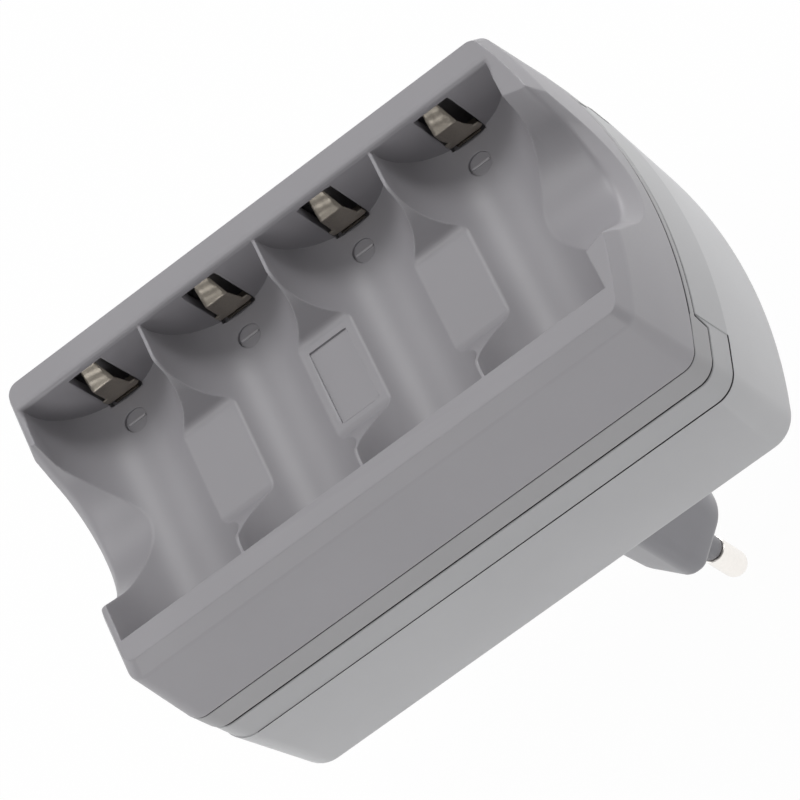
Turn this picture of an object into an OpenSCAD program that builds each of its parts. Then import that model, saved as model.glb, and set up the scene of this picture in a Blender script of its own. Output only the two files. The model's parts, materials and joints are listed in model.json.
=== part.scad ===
// Plug-in wall charger for four round lithium cells.
// The origin is the middle of the plug's face. Z points up through the plug to the battery tray.
// Every module is drawn in the body's own frame, with z = 0 at the rim of the tray and
// x = 0 at the middle of the four bays and y = 0 at the middle of the housing's width.
// part_frame() then moves it to the plug's face.

/* [Battery bays] */
// Distance between the middles of neighbouring bays
bay_pitch = 19.5; // [19.4:0.1:20.2]
// Width of a bay
bay_w = 19; // [18:0.1:19.1]
// Length of a bay
bay_l = 38.6; // [37:0.1:39]
// Depth of the bay's centre line below the rim
bay_axis_depth = 2.3; // [1.8:0.1:3]
// How far the bays sit toward the front of the housing
bay_offset = 0.33; // [0:0.01:0.6]
// Depth of the recessed minus discs in the bay floors
disc_depth = 0.3; // [0.2:0.05:0.5]
// Diameter of the minus discs
disc_d = 3.4; // [2:0.1:4]
// Distance from a bay's back wall to the middle of its minus disc
disc_inset = 4.15; // [3:0.05:6]
// How far a minus disc sits to the left of its bay's middle
disc_offset = 0.25; // [0:0.05:1]

/* [Scoops and dividers] */
// Width of the finger scoops at the rim
scoop_w = 26.8; // [24:0.1:28]
// Depth of the scoops in the two ends
scoop_depth = 10.9; // [8:0.1:11.5]
// Angle of the scoop sides from the level
scoop_angle = 58.3; // [50:0.1:65]
// How far the left scoop's outer lip leans out at its bottom
scoop_lean = 1; // [0:0.1:1.4]
// Depth of the pads between the bays
pad_depth = 10.1; // [8:0.1:10.6]
// How far the divider ridges lie below the rim
ridge_drop = 0.8; // [0.4:0.1:1.2]
// Radius where a pad meets its slopes
pad_fillet = 0.8; // [0.5:0.1:2]
// Length of the plain recess in the middle pad
recess_l = 11.8; // [8:0.1:12.5]
// Width of the plain recess in the middle pad
recess_w = 6.1; // [4:0.1:6.5]
// Depth of the plain recess in the middle pad
recess_depth = 0.3; // [0.2:0.05:0.6]

/* [Rim] */
// Distance from the bays' middle to the right end of the flat rim
rim_right = 43.5; // [43:0.1:44]
// Distance from the bays' middle to the left end of the flat rim
rim_left = 40.2; // [39.8:0.1:40.6]
// Width of the flat rim
rim_w = 46.3; // [46:0.1:48]
// Corner radius of the flat rim
rim_corner_r = 1.8; // [1:0.1:3]
// Radius of the curved right end of the rim
rim_end_r = 62; // [50:1:70]
// Radius of the nearly straight left end, at every height
left_end_r = 400; // [250:10:800]
// Width of the bevel round the rim
bevel_w = 1.35; // [1:0.05:1.6]
// Width of the bevel at the right end
end_bevel_w = 1.2; // [1:0.05:1.4]
// Corner radius at the foot of the bevel
bevel_corner_r = 1.9; // [1.5:0.1:3.5]
// Height of the bevel round the rim
bevel_h = 2.8; // [2:0.1:3.5]

/* [Housing] */
// Distance from the bays' middle to the right end at the upper seam
seam_right = 45.2; // [44.9:0.1:45.6]
// Distance from the bays' middle to the left end at the upper seam
seam_left = 42.8; // [42.4:0.1:43.2]
// Width at the upper seam
seam_w = 50.9; // [50.8:0.1:52]
// Distance to the right end at the crease, where the housing is longest
body_right = 45.5; // [45.2:0.1:47]
// Distance to the left end at the crease
body_left = 43.1; // [42.8:0.1:44]
// Width at the crease, where the housing is widest
body_w = 51.5; // [51:0.1:53]
// Distance to the right end at the bottom
base_right = 44.6; // [43.5:0.1:45.5]
// Distance to the left end at the bottom
base_left = 42; // [41:0.1:43]
// Width at the bottom
base_w = 50; // [48.5:0.1:51]
// Height from the bottom to the rim
body_h = 48; // [47:0.1:52]
// Radius of the curved right end at the seams
end_r = 66; // [60:1:80]
// Radius of the upright corners at the upper seam
corner_r = 2.8; // [2.4:0.1:3.8]
// Radius of the upright corners at the bottom
base_corner_r = 4.6; // [4:0.1:6]
// Radius of the edge round the bottom
edge_r = 1.2; // [0.8:0.1:2.4]
// Wall thickness of the housing
wall = 1.8; // [1.6:0.1:1.9]
// Thickness of the housing's floor
floor_t = 2.2; // [1.8:0.1:3]

/* [Seams and belt] */
// Depth of the upper seam below the rim
upper_seam = 17.6; // [17:0.1:18.3]
// Depth of the lower seam along the front and back
lower_seam = 22.5; // [21.5:0.1:23.5]
// Depth of the lower seam across the two ends
end_seam = 19.2; // [18.9:0.1:19.8]
// Depth of the crease and of the belt line
crease = 28.3; // [26:0.1:30]
// Distance from the middle to the step of the lower seam, along the width
step_y = 18.7; // [18:0.1:20]
// Length of that step along the width
step_run = 0.6; // [0.3:0.1:1.2]
// Height of the open line at a seam
seam_gap = 0.2; // [0.1:0.05:0.3]
// Depth of the open line at a seam
seam_depth = 0.8; // [0.5:0.1:0.9]
// How far the belt under the lower seam lies back from the ends
belt_depth = 0.12; // [0.05:0.01:0.2]
// Where the belt line runs out near the left end, from the middle
belt_start = 36; // [30:0.5:38]
// Height of the tongue that keys the frame into the cover
tongue_h = 1.6; // [1:0.1:2]
// Thickness of that tongue
tongue_t = 0.8; // [0.6:0.1:1]
// Clearance beside the tongue
tongue_gap = 0.1; // [0.05:0.05:0.2]

/* [Contact windows] */
// Width of a contact window
window_w = 5.54; // [5.4:0.02:6.4]
// Depth of a window's top edge below the rim
window_top = 1.6; // [1.5:0.1:2]
// Depth of a window's bottom edge below the rim
window_bottom = 12.5; // [12.3:0.1:13]
// How far a window cuts forward into the bay's floor
window_lip = 0.35; // [0.2:0.05:0.6]
// Width of the windows for the fixed contacts
fixed_window_w = 6.8; // [6.6:0.1:7.6]

/* [Contacts] */
// Thickness of the contact strip
strip_t = 0.4; // [0.3:0.05:0.45]
// Width of a leaf just above its shoulders
leaf_w = 3.9; // [3.4:0.1:4.4]
// Width of a leaf across its shoulders
leaf_shoulder_w = 5.2; // [4.8:0.05:5.3]
// Width of a leaf at its fold
leaf_fold_w = 3.4; // [2.8:0.1:3.8]
// Width of a leaf's tip
leaf_tip_w = 1.5; // [1:0.1:2.4]
// How far a leaf's fold stands out of the back wall
leaf_reach = 0.85; // [0.5:0.05:1.4]
// Depth of a leaf's fold below the rim
leaf_fold_depth = 5.4; // [5:0.1:6]
// Width of a fixed contact
fixed_w = 6; // [5:0.1:6.4]
// How far a fixed contact's nose stands out of the front wall
fixed_reach = 3.3; // [2:0.1:3.5]

/* [Plug] */
// Distance between the two pins
pin_spacing = 19; // [18:0.1:20]
// Diameter of the bare end of a pin
pin_d = 4; // [3.8:0.05:4.2]
// Length of a pin from the plug's face
pin_l = 19; // [18:0.1:20]
// Diameter of the core under the sleeve
core_d = 2.9; // [2.6:0.05:3.1]
// Outer diameter of a sleeve
sleeve_d = 3.7; // [3.5:0.05:3.75]
// Length of a sleeve
sleeve_l = 10; // [9:0.1:11]
// How far a sleeve sits in the plug's face
sleeve_seat = 1.5; // [1:0.1:3]
// Length of the plug's face, along the row of pins
plug_l = 35.3; // [34:0.1:37]
// Width of the plug's face
plug_w = 13.7; // [13:0.1:16]
// Width of the narrow tips of the plug's face
plug_tip_w = 2.4; // [2:0.1:4]
// Corner radius of the plug at its face
plug_corner_r = 5; // [3:0.1:6]
// Corner radius of the neck where it meets the housing
neck_corner_r = 9; // [6:0.5:12]
// Rounding round the plug's face
plug_edge_r = 2; // [1:0.1:2.2]
// Height of the neck from the plug's face to the housing's bottom
neck_h = 26.5; // [24:0.1:30]
// Length of the neck where it meets the housing
neck_base_l = 36; // [35.5:0.1:38]
// Width of the neck where it meets the housing
neck_base_w = 20; // [19:0.1:22]
// Thickness of the plug's solid nose round the pins
nose_t = 9; // [7:0.1:11]
// Distance of the plug's middle to the right of the housing's middle
plug_x = 12.3; // [10:0.1:14]
// Distance of the plug's middle toward the front of the housing
plug_y = 1.33; // [0:0.01:2]

/* [Board and its parts] */
// Clearance between the long sides of the circuit board and the frame
board_gap = 0.3; // [0.1:0.05:0.5]
// Clearance between the left end of the circuit board and the frame
board_end_gap = 2.6; // [2.4:0.1:3.2]
// Thickness of the circuit board
board_t = 1.6; // [1:0.1:2]
// Space between the tray's underside and the board
board_space = 6.4; // [5:0.1:7]
// Diameter of the leads from the pins to the board
lead_d = 2.2; // [1.6:0.1:2.6]
// Width of the transformer core
core_w = 24; // [22:0.5:26]
// Depth of the transformer core
core_depth = 9; // [8:0.1:10]
// Height of the transformer core
core_h = 18; // [17:0.1:18.4]
// Diameter of the input capacitor
input_cap_d = 10; // [8:0.5:11]
// Height of the input capacitor
input_cap_h = 18; // [12:0.5:20]
// Diameter of the output capacitor
output_cap_d = 8; // [6:0.5:8.5]
// Height of the output capacitor
output_cap_h = 13; // [9:0.5:16]
// Diameter of the fuse
fuse_d = 7; // [6:0.5:8]
// Height of the fuse
fuse_h = 7; // [5:0.5:9]
// Width of the bridge rectifier
rectifier_w = 9; // [8:0.5:10]
// Thickness of the bridge rectifier
rectifier_t = 3.4; // [3:0.1:4]
// Height of the bridge rectifier's body
rectifier_h = 7; // [6:0.5:9]
// Height of the heat sink
sink_h = 16; // [14:0.5:18]
// Width of the heat sink
sink_w = 18; // [16:0.5:19]
// Depth of the heat sink's channel
sink_depth = 3.5; // [2.5:0.1:4]
// Thickness of the heat sink
sink_t = 1.4; // [1:0.1:1.6]
// Width of the power transistor
device_w = 10; // [9:0.5:11]
// Height of the power transistor's body
device_h = 9; // [8:0.5:10]
// Thickness of the power transistor
device_t = 4.4; // [4:0.1:5]
// Length of the power transistor's legs
device_leg = 4; // [3:0.1:5]

/* [Screws] */
// Distance between the screws along the length
screw_pitch_x = 68; // [67.5:0.1:68.5]
// Distance between the screws along the width
screw_pitch_y = 34; // [33:0.1:35]
// Shank diameter of a screw
screw_d = 2.8; // [2.5:0.1:3]
// Head diameter of a screw
screw_head_d = 5.2; // [4.8:0.1:5.6]
// Head height of a screw
screw_head_h = 1.8; // [1.5:0.1:2.2]
// Depth of a screw's counterbore from the bottom
screw_well = 12; // [8:0.5:14]
// Length of thread in the cover's bosses
screw_grip = 6; // [4:0.1:6.5]

/* [Hidden] */
$fn = 48;
end_steps = 12;
corner_steps = 6;
bay_steps = 32;
hidden_steps = 16;
hidden_fn = 20;
scoop_steps = 20;

bay_x = [for (i = [0:3]) (i - 1.5) * bay_pitch];
bay_r = bay_w / 2;
bay_floor = bay_axis_depth + bay_r;
rim_height = neck_h + body_h;
tray_under = bay_floor + wall;
board_top = tray_under + board_space;
board_under = board_top + board_t;
floor_top = body_h - floor_t;
back_wall = bay_l / 2 - bay_offset;
front_wall = -bay_l / 2 - bay_offset;
core_gap = 0.05;
fit_gap = 0.3;

// Sizes of the outside by depth below the rim, lowest first
right_at = [[-body_h, base_right], [-crease, body_right], [-upper_seam, seam_right],
            [-bevel_h, rim_right + end_bevel_w], [0, rim_right]];
left_at = [[-body_h, base_left], [-crease, body_left], [-upper_seam, seam_left],
           [-bevel_h, rim_left + bevel_w], [0, rim_left]];
half_w_at = [[-body_h, base_w / 2], [-crease, body_w / 2], [-upper_seam, seam_w / 2],
             [-bevel_h, rim_w / 2 + bevel_w], [0, rim_w / 2]];
corner_at = [[-body_h, base_corner_r], [-upper_seam, corner_r],
             [-bevel_h, bevel_corner_r], [0, rim_corner_r]];
end_r_at = [[-upper_seam, end_r], [-bevel_h, rim_end_r + end_bevel_w], [0, rim_end_r]];
body_reach = body_right + body_left;

// Circuit board, from the space inside the frame at its height
frame_wall = wall + tongue_gap + tongue_t;
board_w = 2 * (min(lookup(-board_top, half_w_at), lookup(-board_under, half_w_at)) - frame_wall - board_gap);
board_l = 2 * (lookup(-board_top, left_at) - frame_wall - board_end_gap);

// Places of the contacts' bends, as depths below the rim or distances from the bay's back wall
nose_high = 2.2;
nose_low = leaf_fold_depth + 3.4;
shoulder_high = 8.5;
shoulder_low = 10.1;
pivot_depth = 10.8;
foot_depth = 11.4;
foot_back = 0.6;
bus_h = 2.4;

// Places on the circuit board
transformer_x = -9;
core_lift = 1;
flange_t = 0.8;
limb_x = core_w / 6 + core_gap + flange_t;
limb_y = core_depth / 2 + core_gap + flange_t;
input_cap_place = [-board_l * 0.4, board_w * 0.09];
output_cap_place = [board_l * 0.393, board_w * 0.178];
rectifier_place = [-board_l * 0.387, -board_w * 0.156];
chip_place = [board_l * 0.387, -board_w * 0.178];
fuse_place = [board_l * 0.053, -board_w * 0.356];
sink_x = board_l * 0.253;
tab_t = device_t * 0.3;
collar_h = 1.5;
stub_h = 4;
screw_reach = body_h - screw_well - board_top + screw_grip;
screw_places = [for (x = [-1, 1], y = [-1, 1]) [x * screw_pitch_x / 2, y * screw_pitch_y / 2]];
post_r = screw_head_d / 2 + 1.2;
boss_r = screw_d / 2 + 1.5;

function unit(v) = v / norm(v);
function flipped(list) = [for (i = [len(list) - 1:-1:0]) list[i]];
function lifted(ring, z) = [for (p = ring) [p[0], p[1], z]];
function arc(c, r, from, to, steps) = [for (i = [0:steps])
  let (t = from + (to - from) * i / steps) c + r * [cos(t), sin(t)]];

// A path or outline with its corners rounded, each by its own radius (0 keeps the corner)
function rounded(path, radii, steps) = [for (i = [0:len(path) - 1]) each
  let (n = len(path), b = path[i], u = unit(path[(i + n - 1) % n] - b), v = unit(path[(i + 1) % n] - b),
       half = acos(u * v) / 2, o = b + unit(u + v) * radii[i] / sin(half),
       s = b + u * radii[i] / tan(half) - o, e = b + v * radii[i] / tan(half) - o,
       a0 = atan2(s[1], s[0]), turn = atan2(s[0] * e[1] - s[1] * e[0], s * e))
  radii[i] == 0 ? [b] : arc(o, radii[i], a0, a0 + turn, steps)];

// One side of a path, moved sideways by d with mitred corners
function beside(path, d) = [for (i = [0:len(path) - 1])
  let (n = len(path) - 1, u = unit(path[min(i + 1, n)] - path[min(i, n - 1)]),
       w = unit(path[max(i, 1)] - path[max(i - 1, 0)]),
       a = [-u[1], u[0]], b = [-w[1], w[0]], m = unit(a + b))
  path[i] + m * d / (m * a)];
function strip(path, t) = concat(beside(path, t / 2), flipped(beside(path, -t / 2)));

// One end of the housing in plan: a bulge of the given radius between two rounded corners
function end_outline(hx, hy, r, bulge) =
  let (cy = hy - r, ex = hx - bulge, cx = ex + sqrt(pow(bulge - r, 2) - cy * cy), a = atan2(cy, cx - ex),
       corner = arc([cx, cy], r, a, 90, corner_steps),
       quarter = [for (i = [1:corner_steps]) corner[i]])
  concat([for (p = flipped(quarter)) [p[0], -p[1]]], arc([ex, 0], bulge, -a, a, end_steps), quarter);

// Ring of the housing at a height, moved inward by inset
function body_ring(z, inset = 0) =
  let (hy = lookup(z, half_w_at) - inset, r = max(0.6, lookup(z, corner_at) - inset))
  concat(end_outline(lookup(z, right_at) - inset, hy, r, lookup(z, end_r_at) - inset),
         [for (p = end_outline(lookup(z, left_at) - inset, hy, r, left_end_r - inset)) -p]);

// Ring of the plug's neck at a height above the plug's face
function neck_ring(h, inset = 0) =
  let (k = h / neck_h, hx = (plug_w + (neck_base_w - plug_w) * k) / 2 - inset,
       hy = (plug_l + (neck_base_l - plug_l) * k) / 2 - inset, tip = plug_tip_w / 2 - inset * (sqrt(2) - 1),
       y = hy - (hx - tip), r = plug_corner_r + (neck_corner_r - plug_corner_r) * k)
  rounded([[hx, -y], [hx, y], [tip, hy], [-tip, hy], [-hx, y], [-hx, -y], [-tip, -hy], [tip, -hy]],
          [r, r, tip * 0.8, tip * 0.8, r, r, tip * 0.8, tip * 0.8], 3);

// Side view of the dividers: ridges, slopes of the scoop and a flat pad between two fillets
function slope_run(depth) = depth / tan(scoop_angle);
function pad_profile(drop, reach) =
  let (h = scoop_w / 2, r = h - slope_run(pad_depth - ridge_drop), top = -ridge_drop - drop, low = -pad_depth - drop)
  rounded([[-reach, 5], [-reach, top], [-h, top], [-r, low], [r, low], [h, top], [reach, top], [reach, 5]],
          [0, 0, 0, pad_fillet, pad_fillet, 0, 0, 0], 5);

// Side view of an end scoop: straight slopes that run into one arc
scoop_r = (scoop_w / 2 * sin(scoop_angle) - scoop_depth * cos(scoop_angle)) / (1 - cos(scoop_angle));
function end_profile(drop) =
  let (h = scoop_w / 2 + slope_run(1), bottom = arc([0, scoop_r - scoop_depth - drop], scoop_r,
       270 - scoop_angle, 270 + scoop_angle, scoop_steps))
  concat([[-h, 1 - drop]], bottom, [[h, 1 - drop]]);

// Solid through a stack of rings of equal length, lowest first
module loft(rings) {
  n = len(rings[0]);
  m = len(rings);
  sides = [for (k = [0:m - 2], i = [0:n - 1]) let (j = (i + 1) % n) each
    [[k * n + i, (k + 1) * n + i, (k + 1) * n + j], [k * n + i, (k + 1) * n + j, k * n + j]]];
  caps = [[for (i = [0:n - 1]) i], [for (i = [n - 1:-1:0]) (m - 1) * n + i]];
  polyhedron([for (ring = rings) each ring], concat(caps, sides));
}

// The housing's form between two heights, moved inward by inset
module body_form(low, high, inset = 0) {
  levels = concat([low], [for (row = right_at) if (row[0] > low && row[0] < high) row[0]], [high]);
  loft([for (z = levels) lifted(body_ring(z, inset), z)]);
}

// Outer skin of the housing between two heights, to a depth
module skin(low, high, depth) {
  difference() {
    body_form(low, high, -1);
    body_form(low - 1, high + 1, depth);
  }
}

// Outline in the YZ plane, extruded along X from one place to another
module along_x(x0, x1) {
  translate([x0, 0, 0]) rotate([90, 0, 90]) linear_extrude(x1 - x0) children();
}

module box(low, high) {
  translate(low) cube(high - low);
}

module rod(place, low, high, r) {
  translate([place[0], place[1], low]) cylinder(r = r, h = high - low);
}

module part_frame() {
  translate([-plug_x, plug_y, rim_height]) children();
}

module plug_frame() {
  translate([plug_x, -plug_y, -rim_height]) children();
}

module at_bay(i) {
  translate([bay_x[i], -bay_offset, 0]) children();
}

module at_bays() {
  for (i = [0:3]) at_bay(i) children();
}

// U-shaped trough of a bay about its own middle, open upward
module bay_trough(r, l, steps) {
  rotate([90, 0, 0]) linear_extrude(l, center = true)
    polygon(concat(arc([0, -bay_axis_depth], r, 180, 360, steps), [[r, 5], [-r, 5]]));
}

// What lies above the ridges and pads, for the length of the bay row
module divider_space(drop, reach) {
  translate([0, -bay_offset, 0]) along_x(bay_x[0], bay_x[3]) polygon(pad_profile(drop, reach));
}

// What lies above an end scoop, with the rim's bevel carried along its outer edge
module end_space(drop, rim, bulge, bevel, lean) {
  over = (body_left - rim_left) / bevel + 0.6;
  loft([for (p = end_profile(drop))
    let (y = p[0] - bay_offset, z = p[1],
         crest = rim - bulge + sqrt(bulge * bulge - y * y) + lean * max(0, -z) / scoop_depth)
    [[bay_x[3], y, z], [bay_x[3], y, 6], [crest + bevel * over, y, 6],
     [crest + bevel * over, y, z - bevel_h * over], [crest, y, z]]]);
}

module end_spaces(drop) {
  end_space(drop, rim_right, rim_end_r, end_bevel_w, 0);
  mirror([1, 0, 0]) end_space(drop, rim_left, left_end_r, bevel_w, scoop_lean);
}

// Space under the tray, inside the cover's walls
module cover_hollow() {
  difference() {
    body_form(-upper_seam - 1, -window_top, wall);
    at_bays() bay_trough(bay_r + wall, bay_l + 2 * wall, hidden_steps);
    divider_space(wall, bay_l / 2 + wall);
    end_spaces(wall);
  }
}

// Minus disc in a bay's floor: a round recess that holds a raised bar
module minus_recess() {
  rod([-disc_offset, bay_l / 2 - disc_inset], -bay_floor - disc_depth, -bay_floor + 1, disc_d / 2);
}

module minus_bar() {
  half_l = disc_d * 0.43;
  half_w = disc_d * 0.05;
  y = bay_l / 2 - disc_inset;
  translate([-disc_offset, 0, 0])
    box([-half_l, y - half_w, -bay_floor - disc_depth - 0.2], [half_l, y + half_w, -bay_floor - 0.04]);
}

module contact_windows() {
  box([-window_w / 2, bay_l / 2 - window_lip, -window_bottom],
      [window_w / 2, bay_l / 2 + wall + 0.5, -window_top]);
  box([-fixed_window_w / 2, -bay_l / 2 - wall - 0.5, -nose_low - 0.6],
      [fixed_window_w / 2, -bay_l / 2 + 0.1, -nose_high + 0.3]);
}

module pad_recess() {
  translate([0, -bay_offset, -pad_depth - recess_depth]) linear_extrude(2) square([recess_w, recess_l], center = true);
}

module upper_cover() color([0.58, 0.57, 0.58]) part_frame() {
  difference() {
    union() {
      difference() {
        body_form(-upper_seam, 0);
        cover_hollow();
      }
      for (p = screw_places) rod(p, -board_top, -bay_axis_depth, boss_r, $fn = hidden_fn);
    }
    at_bays() bay_trough(bay_r, bay_l, bay_steps);
    divider_space(0, bay_l / 2);
    end_spaces(0);
    at_bays() contact_windows();
    pad_recess();
    at_bays() minus_recess();
    for (p = screw_places)
      rod(p, -board_top - 1, -board_top + screw_grip + 0.5, screw_d / 2 + 0.05, $fn = hidden_fn);
  }
  at_bays() minus_bar();
}

// What lies above the lower seam, moved down by drop: shallow across the ends, deeper along the sides
module above_lower_seam(drop) {
  far = body_w;
  across = -end_seam - drop;
  along = -lower_seam - drop;
  run = step_y + step_run;
  along_x(-body_reach, body_reach)
    polygon([[-far, along], [-run, along], [-step_y, across], [step_y, across], [run, along], [far, along],
             [far, 5], [-far, 5]]);
}

module middle_frame() color([0.62, 0.63, 0.63]) part_frame() {
  difference() {
    union() {
      intersection() {
        body_form(-lower_seam - 1, -upper_seam);
        above_lower_seam(0);
      }
      body_form(-upper_seam - 0.5, -upper_seam + tongue_h, wall + tongue_gap);
    }
    body_form(-lower_seam - 2, -upper_seam + tongue_h + 1, frame_wall);
    skin(-upper_seam - seam_gap, -upper_seam + 1, seam_depth);
  }
}

// Belt under the lower seam along the front and back: set back a little, over a fine line at the crease
module belt() {
  side_y = step_y - 0.4;
  intersection() {
    skin(-crease, -upper_seam, belt_depth);
    union() {
      box([-body_reach, -body_w, -body_h], [body_reach, -side_y, 0]);
      box([-body_reach, side_y, -body_h], [body_reach, body_w, 0]);
    }
  }
  intersection() {
    skin(-crease - seam_gap, -crease, seam_depth / 2);
    union() {
      box([-belt_start, -body_w, -body_h], [body_reach, -side_y, 0]);
      box([-belt_start, side_y, -body_h], [body_reach, body_w, 0]);
    }
  }
}

module housing_outside() {
  loft(concat(
    [for (t = [0:30:90]) let (z = -body_h + edge_r * (1 - cos(t)))
      lifted(body_ring(z, edge_r * (1 - sin(t))), z)],
    [for (z = [-crease, -lower_seam, -upper_seam]) lifted(body_ring(z), z)]));
}

module neck_outside() {
  loft(concat(
    [for (t = [0:22.5:90]) let (h = plug_edge_r * (1 - cos(t)))
      lifted(neck_ring(h, plug_edge_r * (1 - sin(t))), h)],
    [lifted(neck_ring(neck_h), neck_h), lifted(neck_ring(neck_h), neck_h + floor_t / 2)]));
}

module neck_cavity() {
  loft([lifted(neck_ring(nose_t, wall), nose_t), lifted(neck_ring(neck_h, wall), neck_h),
        lifted(neck_ring(neck_h, wall), neck_h + floor_t + 1)]);
}

module lower_shell() color([0.65, 0.65, 0.66]) part_frame() {
  difference() {
    union() {
      difference() {
        union() {
          housing_outside();
          plug_frame() neck_outside();
        }
        body_form(-floor_top, -upper_seam + 1, wall);
        plug_frame() neck_cavity();
      }
      for (p = screw_places) rod(p, -floor_top - floor_t / 2, -board_under, post_r, $fn = hidden_fn);
    }
    above_lower_seam(0);
    intersection() {
      above_lower_seam(seam_gap);
      skin(-lower_seam - 1, -upper_seam, seam_depth);
    }
    belt();
    plug_frame() for (side = [-1, 1]) {
      rod([0, side * pin_spacing / 2], -1, nose_t + 1, core_d / 2 + core_gap);
      rod([0, side * pin_spacing / 2], -1, sleeve_seat + seam_gap, sleeve_d / 2 + core_gap);
    }
    for (p = screw_places) {
      rod(p, -body_h - 1, -body_h + screw_well, screw_head_d / 2 + 0.2);
      rod(p, -body_h, -board_top, screw_d / 2 + 0.2, $fn = hidden_fn);
    }
  }
}

// A pin: bare rounded end, slimmer core through the sleeve and nose, and a collar that seats on the nose
module pin(side) {
  r = pin_d / 2;
  core = core_d / 2;
  translate([0, side * pin_spacing / 2, 0]) rotate_extrude()
    polygon(concat(arc([0, r - pin_l], r, 270, 360, 10), [[r, -sleeve_l], [core, -sleeve_l], [core, nose_t], [core + 1, nose_t],
                         [core + 1, nose_t + collar_h], [core, nose_t + collar_h],
                         [core, nose_t + stub_h], [0, nose_t + stub_h]]));
}

module sleeve(side) {
  low = -sleeve_l + seam_gap;
  translate([0, side * pin_spacing / 2, 0]) rotate_extrude()
    polygon([[core_d / 2 + core_gap, low], [sleeve_d / 2 - 0.1, low], [sleeve_d / 2, low + 0.1],
             [sleeve_d / 2, sleeve_seat], [core_d / 2 + core_gap, sleeve_seat]]);
}

module lead(side) {
  rod([0, side * pin_spacing / 2], nose_t + stub_h, rim_height - board_under, lead_d / 2);
}

module front_pin() color([0.9, 0.88, 0.86]) pin(-1);
module rear_pin() color([0.9, 0.88, 0.86]) pin(1);
module front_pin_sleeve() color([0.5, 0.5, 0.52]) sleeve(-1);
module rear_pin_sleeve() color([0.5, 0.5, 0.52]) sleeve(1);
module front_pin_lead() color([0.25, 0.35, 0.6]) lead(-1);
module rear_pin_lead() color([0.45, 0.3, 0.2]) lead(1);

// Leaf contact: a strip bent in side view, cut to its tapered front view
module leaf() {
  wall_y = bay_l / 2;
  fold = [wall_y - leaf_reach, -leaf_fold_depth];
  tip = [wall_y + 1.7, -window_top - 1];
  heel = [wall_y, -shoulder_low];
  path = rounded([tip, fold, heel, [wall_y + foot_back, -pivot_depth], [wall_y + foot_back, -foot_depth]],
                 [0, 0.5, 0.6, 0.3, 0], 4);
  half = [[leaf_tip_w, -window_top], [leaf_fold_w, -leaf_fold_depth], [leaf_w, -shoulder_high],
          [leaf_shoulder_w, -shoulder_high], [leaf_shoulder_w, -shoulder_low],
          [leaf_w, -shoulder_low], [leaf_w, -foot_depth]];
  intersection() {
    along_x(-window_w / 2, window_w / 2) polygon(strip(path, strip_t));
    translate([0, wall_y + 5, 0]) rotate([90, 0, 0]) linear_extrude(10)
      polygon(concat([for (p = half) [p[0] / 2, p[1]]], [for (p = flipped(half)) [-p[0] / 2, p[1]]]));
  }
}

// Fixed contact: a strip behind the front wall whose nose comes through the window, with a tail to the board
module fixed_contact() {
  back = -bay_l / 2 - wall - core_gap - strip_t / 2;
  nose = -bay_l / 2 + fixed_reach;
  path = rounded([[back, -nose_high], [nose, -leaf_fold_depth - 0.5], [nose, -leaf_fold_depth - 1.5],
                  [back, -nose_low], [back, -board_top]], [0, 0.7, 0.7, 0.7, 0], 4);
  along_x(-fixed_w / 2, fixed_w / 2) polygon(strip(path, strip_t));
}

module negative_contact_1() color([0.78, 0.75, 0.7]) part_frame() at_bay(0) leaf();
module negative_contact_2() color([0.78, 0.75, 0.7]) part_frame() at_bay(1) leaf();
module negative_contact_3() color([0.78, 0.75, 0.7]) part_frame() at_bay(2) leaf();
module negative_contact_4() color([0.78, 0.75, 0.7]) part_frame() at_bay(3) leaf();
module positive_contact_1() color([0.78, 0.75, 0.7]) part_frame() at_bay(0) fixed_contact();
module positive_contact_2() color([0.78, 0.75, 0.7]) part_frame() at_bay(1) fixed_contact();
module positive_contact_3() color([0.78, 0.75, 0.7]) part_frame() at_bay(2) fixed_contact();
module positive_contact_4() color([0.78, 0.75, 0.7]) part_frame() at_bay(3) fixed_contact();

// Bus behind the back wall: a rail on edge, a lug under each leaf's foot and legs to the board
module negative_bus() color([0.75, 0.72, 0.66]) part_frame() translate([0, -bay_offset, 0]) {
  near = bay_l / 2 + wall + core_gap;
  far = near + strip_t;
  lug_top = -foot_depth - fit_gap;
  reach = bay_x[3] + leaf_w / 2;
  box([-reach, near, lug_top - bus_h], [reach, far, lug_top]);
  for (x = bay_x) box([x - leaf_w / 2, bay_l / 2 + 0.2, lug_top - strip_t], [x + leaf_w / 2, far, lug_top]);
  for (x = [-bay_pitch, 0, bay_pitch]) box([x - 1, near, -board_top], [x + 1, far, lug_top]);
}

module circuit_board() color([0.2, 0.42, 0.25]) part_frame() {
  difference() {
    translate([0, 0, -board_under]) linear_extrude(board_t)
      polygon(rounded([[board_l, board_w] / 2, [-board_l, board_w] / 2, [-board_l, -board_w] / 2,
                       [board_l, -board_w] / 2], [4, 4, 4, 4], 6));
    for (p = screw_places) rod(p, -board_under - 1, -board_top + 1, screw_d / 2 + 0.3, $fn = hidden_fn);
  }
}

// Transformer: a core with a middle limb, a flanged bobbin round the limb and the winding on the bobbin
module on_transformer() {
  part_frame() translate([transformer_x, 0, -board_under - core_lift - core_h / 2]) children();
}

module transformer_core() color([0.3, 0.3, 0.32]) on_transformer() {
  difference() {
    cube([core_w, core_depth, core_h], center = true);
    for (side = [-1, 1]) translate([side * core_w / 4, 0, 0])
      cube([core_w / 6, core_depth + 2, core_h * 2 / 3], center = true);
  }
}

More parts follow.
